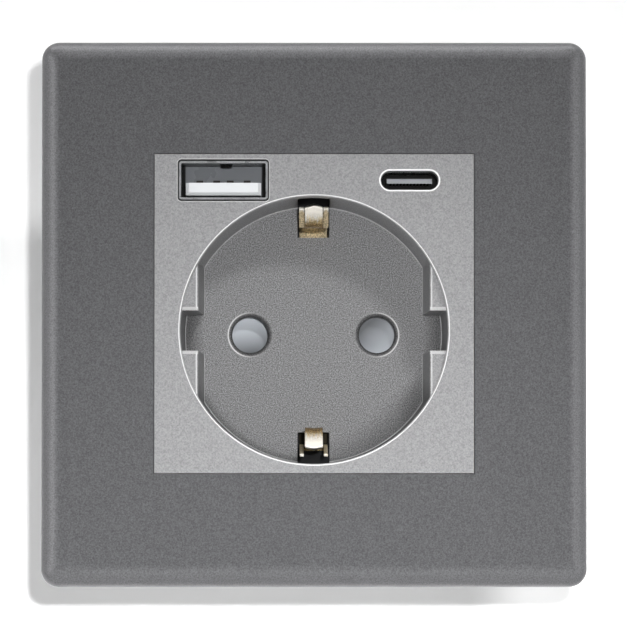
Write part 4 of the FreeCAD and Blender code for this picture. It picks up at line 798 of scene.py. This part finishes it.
NODE_FINISHES = {
    "outer_frame": "frame",
    "centre_plate": "plate",
    "usb_a_shell": "folded_steel",
    "usb_a_tongue": "white",
    "usb_a_contacts": "shaded_gold",
    "usb_c_shell": "port_steel",
    "usb_c_tongue": "grey",
    "usb_c_contacts": "shaded_gold",
    "usb_carrier": "black",
    "usb_board": "board",
    "board_screws": "zinc",
    "support_ring": "zinc",
    "ring_rivets": "zinc",
    "socket_base": "base",
    "rear_cover": "base",
    "housing_screws": "zinc",
    "earth_strap": "brass",
    "earth_bar": "brass",
    "contact_line": "brass",
    "contact_neutral": "brass",
    "shutter_rotor": "shutter",
    "shutter_spring": "spring",
    "power_board": "board",
    "transformer_core": "ferrite",
    "transformer_coil": "tape",
    "bulk_capacitor": "can",
    "output_capacitor": "can",
    "power_chips": "black",
    "fuse_resistor": "cement",
    "board_link": "gold",
    "terminal_cage_line": "zinc",
    "terminal_cage_earth": "zinc",
    "terminal_cage_neutral": "zinc",
    "terminal_screw_line": "zinc",
    "terminal_screw_earth": "zinc",
    "terminal_screw_neutral": "zinc",
    "claw_left": "zinc",
    "claw_right": "zinc",
    "claw_nut_left": "zinc",
    "claw_nut_right": "zinc",
    "claw_screw_left": "zinc",
    "claw_screw_right": "zinc",
}


class SOCKET_OT_earth_contacts(bpy.types.Operator):
    """Shape the two sprung earth contacts as bent and rolled brass strip"""

    bl_idname = "socket.earth_contacts"
    bl_label = "Earth contacts"

    def execute(self, context):
        foot = 17.3
        metal = 0.5
        tongue_half = 1.33
        arm_metal = 0.4
        arm_x = 1.79
        bridge_depth = 12.42
        bridge_end = 17.5
        bridge_half = 2.1
        tongue_path = [(foot, 11.5), (foot, 6.2), (15.3, 0.4), (14.9, -1.9), (18.1, -5.0)]
        arms = {
            "top": ([(foot, 11.5), (foot, 6.0), (15.35, 0.8), (15.15, -0.3), (17.8, -3.3)], 0.40),
            "bottom": ([(foot, 11.5), (foot, 6.2), (19.0, -3.3)], 0.30),
        }
        pieces = []
        for label, mirror in (("top", 1), ("bottom", -1)):
            name = f"earth_tongue_{label}"
            tip = {"peak": 0.5, "crown": -0.12}
            pieces.append(spring_strip(name, tongue_path, tongue_half, metal, 0.0, mirror, **tip))
            for hand, side in (("left", -1), ("right", 1)):
                path, half = arms[label]
                name = f"earth_arm_{label}_{hand}"
                pieces.append(spring_strip(name, path, half, arm_metal, side * arm_x, mirror))
        for label, ends in (("top", (0.0, bridge_end)), ("bottom", (-bridge_end, 0.0))):
            bridge = [(height, bridge_depth) for height in (ends[0], sum(ends) / 2, ends[1])]
            pieces.append(spring_strip(f"earth_bridge_{label}", bridge, bridge_half, metal, 0.0, 1))
        for piece in pieces:
            finish = "brass" if "tongue" in piece.name else "arm"
            # Painted shade on the lower half of the bridge
            if piece.name == "earth_bridge_bottom":
                finish = "painted_shade_brass"
            dress(piece, MATERIALS[finish])
            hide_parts("earth_strap")
        return {"FINISHED"}


# Radius, depth and pitch of the screws' threads, and where they start and end, in millimetres
THREAD = (1.53, 0.24, 0.5)
CLAW_THREAD_START = 2.0
TERMINAL_HEAD = 2.1
THREAD_END_GAP = 0.05


class SOCKET_OT_threads(bpy.types.Operator):
    """Cut threads on the claw screws and the terminal screws"""

    bl_idname = "socket.threads"
    bl_label = "Screw threads"

    def execute(self, context):
        for hand, side in (("left", -1), ("right", 1)):
            low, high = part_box(f"claw_screw_{hand}")
            centre = ((low[0] + high[0]) / 2 / MM, (low[2] + high[2]) / 2 / MM)
            end = high[1] / MM - THREAD_END_GAP
            piece = thread_piece(f"claw_thread_{hand}", centre, "y", *THREAD, CLAW_THREAD_START, end)
            dress(piece, MATERIALS["zinc"], f"{hand}_claw_screw")
        for label in ("line", "earth", "neutral"):
            low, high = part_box(f"terminal_screw_{label}")
            centre = ((low[0] + high[0]) / 2 / MM, (low[1] + high[1]) / 2 / MM)
            start = low[2] / MM + TERMINAL_HEAD
            end = high[2] / MM - THREAD_END_GAP
            piece = thread_piece(f"terminal_thread_{label}", centre, "z", *THREAD, start, end)
            dress(piece, MATERIALS["zinc"], f"clamp_screw_{label}")
        return {"FINISHED"}


class SOCKET_OT_stage(bpy.types.Operator):
    """Set the floor, the backdrop, the lamps, the world and the camera"""

    bl_idname = "socket.stage"
    bl_label = "Stage"

    def execute(self, context):
        settings = context.scene.socket_stage
        add_backdrop()
        add_floor()
        add_dark_room()
        add_world(settings.world)
        add_lamps(settings)
        add_camera(settings)
        view = context.scene.view_settings
        view.view_transform = "Standard"
        return {"FINISHED"}


# The stage's places, in metres
BACKDROP_Y = 0.046
BACKDROP_SIDE = 1.6
FLOOR_DROP = 0.40
DARK_ROOM_Y = -1.25
DARK_ROOM_SIDE = 1.8


def plane(name, corners):
    """A stage piece with four corners."""
    mesh = bpy.data.meshes.new(name)
    mesh.from_pydata(corners, [], [(0, 1, 2, 3)])
    piece = bpy.data.objects.new(name, mesh)
    bpy.context.scene.collection.objects.link(piece)
    return piece


def choose(tree, factor, first, second):
    """One of two shaders by a factor."""
    pick = tree.nodes.new("ShaderNodeMixShader")
    for place, value in enumerate((factor, first, second)):
        join(tree, value, pick.inputs[place])
    return pick.outputs[0]


def pale_material(name, tone, lift, see_through_back):
    """White paper: diffuse, and lifted for rays that see it straight, in a mirror or through glass. Its
    back may be see-through, so that the part shows from behind the wall."""
    material = bpy.data.materials.new(name)
    material.use_nodes = True
    tree = material.node_tree
    tree.nodes.clear()
    result = tree.nodes.new("ShaderNodeOutputMaterial")
    paper = add_node(tree, "ShaderNodeBsdfDiffuse", {"Color": (tone, tone, tone, 1.0)})
    strength = times(tree, seen_directly(tree), lift)
    glow = add_node(tree, "ShaderNodeEmission", {"Color": WHITE, "Strength": strength})
    both = tree.nodes.new("ShaderNodeAddShader")
    join(tree, paper.outputs[0], both.inputs[0])
    join(tree, glow.outputs[0], both.inputs[1])
    last = both.outputs[0]
    if see_through_back:
        clear = tree.nodes.new("ShaderNodeBsdfTransparent").outputs[0]
        facing = tree.nodes.new("ShaderNodeNewGeometry")
        last = choose(tree, facing.outputs["Backfacing"], last, clear)
    join(tree, last, result.inputs["Surface"])
    return material


def add_backdrop():
    """The wall behind the part, which takes its shadow."""
    half = BACKDROP_SIDE / 2
    y = BACKDROP_Y
    corners = [(-half, y, -FLOOR_DROP), (half, y, -FLOOR_DROP), (half, y, half), (-half, y, half)]
    wall = plane("backdrop", corners)
    wall.data.materials.append(pale_material("backdrop_paper", 0.98, 0.085, True))


def add_floor():
    """The pale floor below the part."""
    half = BACKDROP_SIDE / 2
    z = -FLOOR_DROP
    corners = [(-half, -half, z), (half, -half, z), (half, half, z), (-half, half, z)]
    floor = plane("floor", corners)
    floor.data.materials.append(pale_material("floor_paper", 0.75, 0.60, False))


def add_dark_room():
    """The unlit side of the studio behind the camera, seen only in the part's reflections."""
    half = DARK_ROOM_SIDE / 2
    y = DARK_ROOM_Y
    corners = [(-half, y, -FLOOR_DROP), (-half, y, half), (half, y, half), (half, y, -FLOOR_DROP)]
    room = plane("dark_room", corners)
    room.visible_camera = False
    room.visible_diffuse = False
    room.visible_shadow = False
    material = bpy.data.materials.new("dark_room_wall")
    material.use_nodes = True
    material.node_tree.nodes["Principled BSDF"].inputs["Base Color"].default_value = (0.05, 0.05, 0.05, 1.0)
    room.data.materials.append(material)


def add_world(strength):
    """Weak light all round, which looks white to rays that see it directly."""
    world = bpy.data.worlds.new("soft_room")
    bpy.context.scene.world = world
    world.use_nodes = True
    tree = world.node_tree
    tree.nodes.clear()
    result = tree.nodes.new("ShaderNodeOutputWorld")
    room = add_node(tree, "ShaderNodeBackground", {"Color": WHITE, "Strength": strength}).outputs[0]
    white = add_node(tree, "ShaderNodeBackground", {"Color": WHITE, "Strength": 1.0}).outputs[0]
    join(tree, choose(tree, seen_directly(tree), room, white), result.inputs["Surface"])


def lamp(name, kind, power, place, size=None, aim_at=(0.0, FRONT_Y, 0.0), **settings):
    """A lamp at a place, aimed at the plate's middle unless another aim is given."""
    data = bpy.data.lights.new(name, kind)
    data.energy = power
    if size:
        data.shape = "RECTANGLE"
        data.size, data.size_y = size
    for key, value in settings.items():
        setattr(data, key, value)
    made = bpy.data.objects.new(name, data)
    made.location = place
    aim = Vector(aim_at) - Vector(place)
    made.rotation_euler = aim.to_track_quat("-Z", "Y").to_euler()
    made.visible_camera = False
    bpy.context.scene.collection.objects.link(made)
    return made


def add_lamps(settings):
    """A small lamp and a spot beside the camera, a soft spot from the upper right, and four boxes."""
    beside_camera = (0.0353, -1.01, 0.0086)
    spot = {"spot_size": math.radians(14.0), "spot_blend": 1.0}
    low_aim = (0.013, FRONT_Y, -0.080)
    high_aim = (-0.005, FRONT_Y, -0.080)
    high_place = (0.22, -0.88, 0.42)
    small = {"shadow_soft_size": 0.011}
    wide = {"shadow_soft_size": 0.12}
    matt_lamps = (
        lamp("key", "POINT", settings.key, beside_camera, **small),
        lamp("low_fill", "SPOT", settings.low_light, beside_camera, aim_at=low_aim, **spot, **small),
        lamp("high_fill", "SPOT", settings.high_light, high_place, aim_at=high_aim, **spot, **wide),
    )
    for one in matt_lamps:
        one.visible_glossy = False
    lamp("top_strip", "AREA", 2.8, (0.0, -0.01, 0.70), (1.0, 0.04))
    lamp("left_box", "AREA", 4.4, (-1.10, -0.62, 0.05), (0.5, 1.0))
    lamp("right_box", "AREA", 2.0, (1.10, -0.55, 0.0), (0.5, 1.0))
    lamp("low_box", "AREA", 0.08, (0.0, -0.25, -0.28), (0.8, 0.2))


def add_camera(settings):
    """A long lens a little below and to the left of the plate's middle."""
    data = bpy.data.cameras.new("camera")
    data.sensor_width = 36.0
    data.lens = settings.lens
    data.clip_end = 10.0
    made = bpy.data.objects.new("camera", data)
    target = Vector((-0.0001, FRONT_Y, -0.00022))
    level = math.cos(settings.below)
    across = -math.sin(settings.left) * level
    forward = -math.cos(settings.left) * level
    away = Vector((across, forward, -math.sin(settings.below)))
    made.location = target + away * settings.distance
    made.rotation_euler = (-away).to_track_quat("-Z", "Y").to_euler()
    bpy.context.scene.collection.objects.link(made)
    bpy.context.scene.camera = made


OPERATORS = (
    SOCKET_OT_effects,
    SOCKET_OT_finishes,
    SOCKET_OT_earth_contacts,
    SOCKET_OT_threads,
    SOCKET_OT_stage,
)


class SOCKET_PT_panel(bpy.types.Panel):
    """Lists the socket's steps and settings in the sidebar"""

    bl_idname = "SOCKET_PT_panel"
    bl_label = "Wall socket"
    bl_space_type = "VIEW_3D"
    bl_region_type = "UI"
    bl_category = "Socket"

    def draw(self, context):
        column = self.layout.column()
        for settings in (context.scene.socket_finishes, context.scene.socket_stage):
            for name in settings.bl_rna.properties.keys():
                if name not in {"rna_type", "name"}:
                    column.prop(settings, name)
        for one in OPERATORS:
            column.operator(one.bl_idname)


CLASSES = (SocketFinishes, SocketStage, *OPERATORS, SOCKET_PT_panel)


def register():
    """Registers the classes and the two groups of settings."""
    for one in CLASSES:
        bpy.utils.register_class(one)
    bpy.types.Scene.socket_finishes = bpy.props.PointerProperty(type=SocketFinishes)
    bpy.types.Scene.socket_stage = bpy.props.PointerProperty(type=SocketStage)


def unregister():
    """Takes them out again, the last one first."""
    del bpy.types.Scene.socket_stage
    del bpy.types.Scene.socket_finishes
    for one in reversed(CLASSES):
        bpy.utils.unregister_class(one)


def main():
    """Runs the steps in order."""
    register()
    bpy.ops.socket.effects()
    bpy.ops.socket.finishes()
    bpy.ops.socket.earth_contacts()
    bpy.ops.socket.threads()
    bpy.ops.socket.stage()


if __name__ == "__main__":
    main()
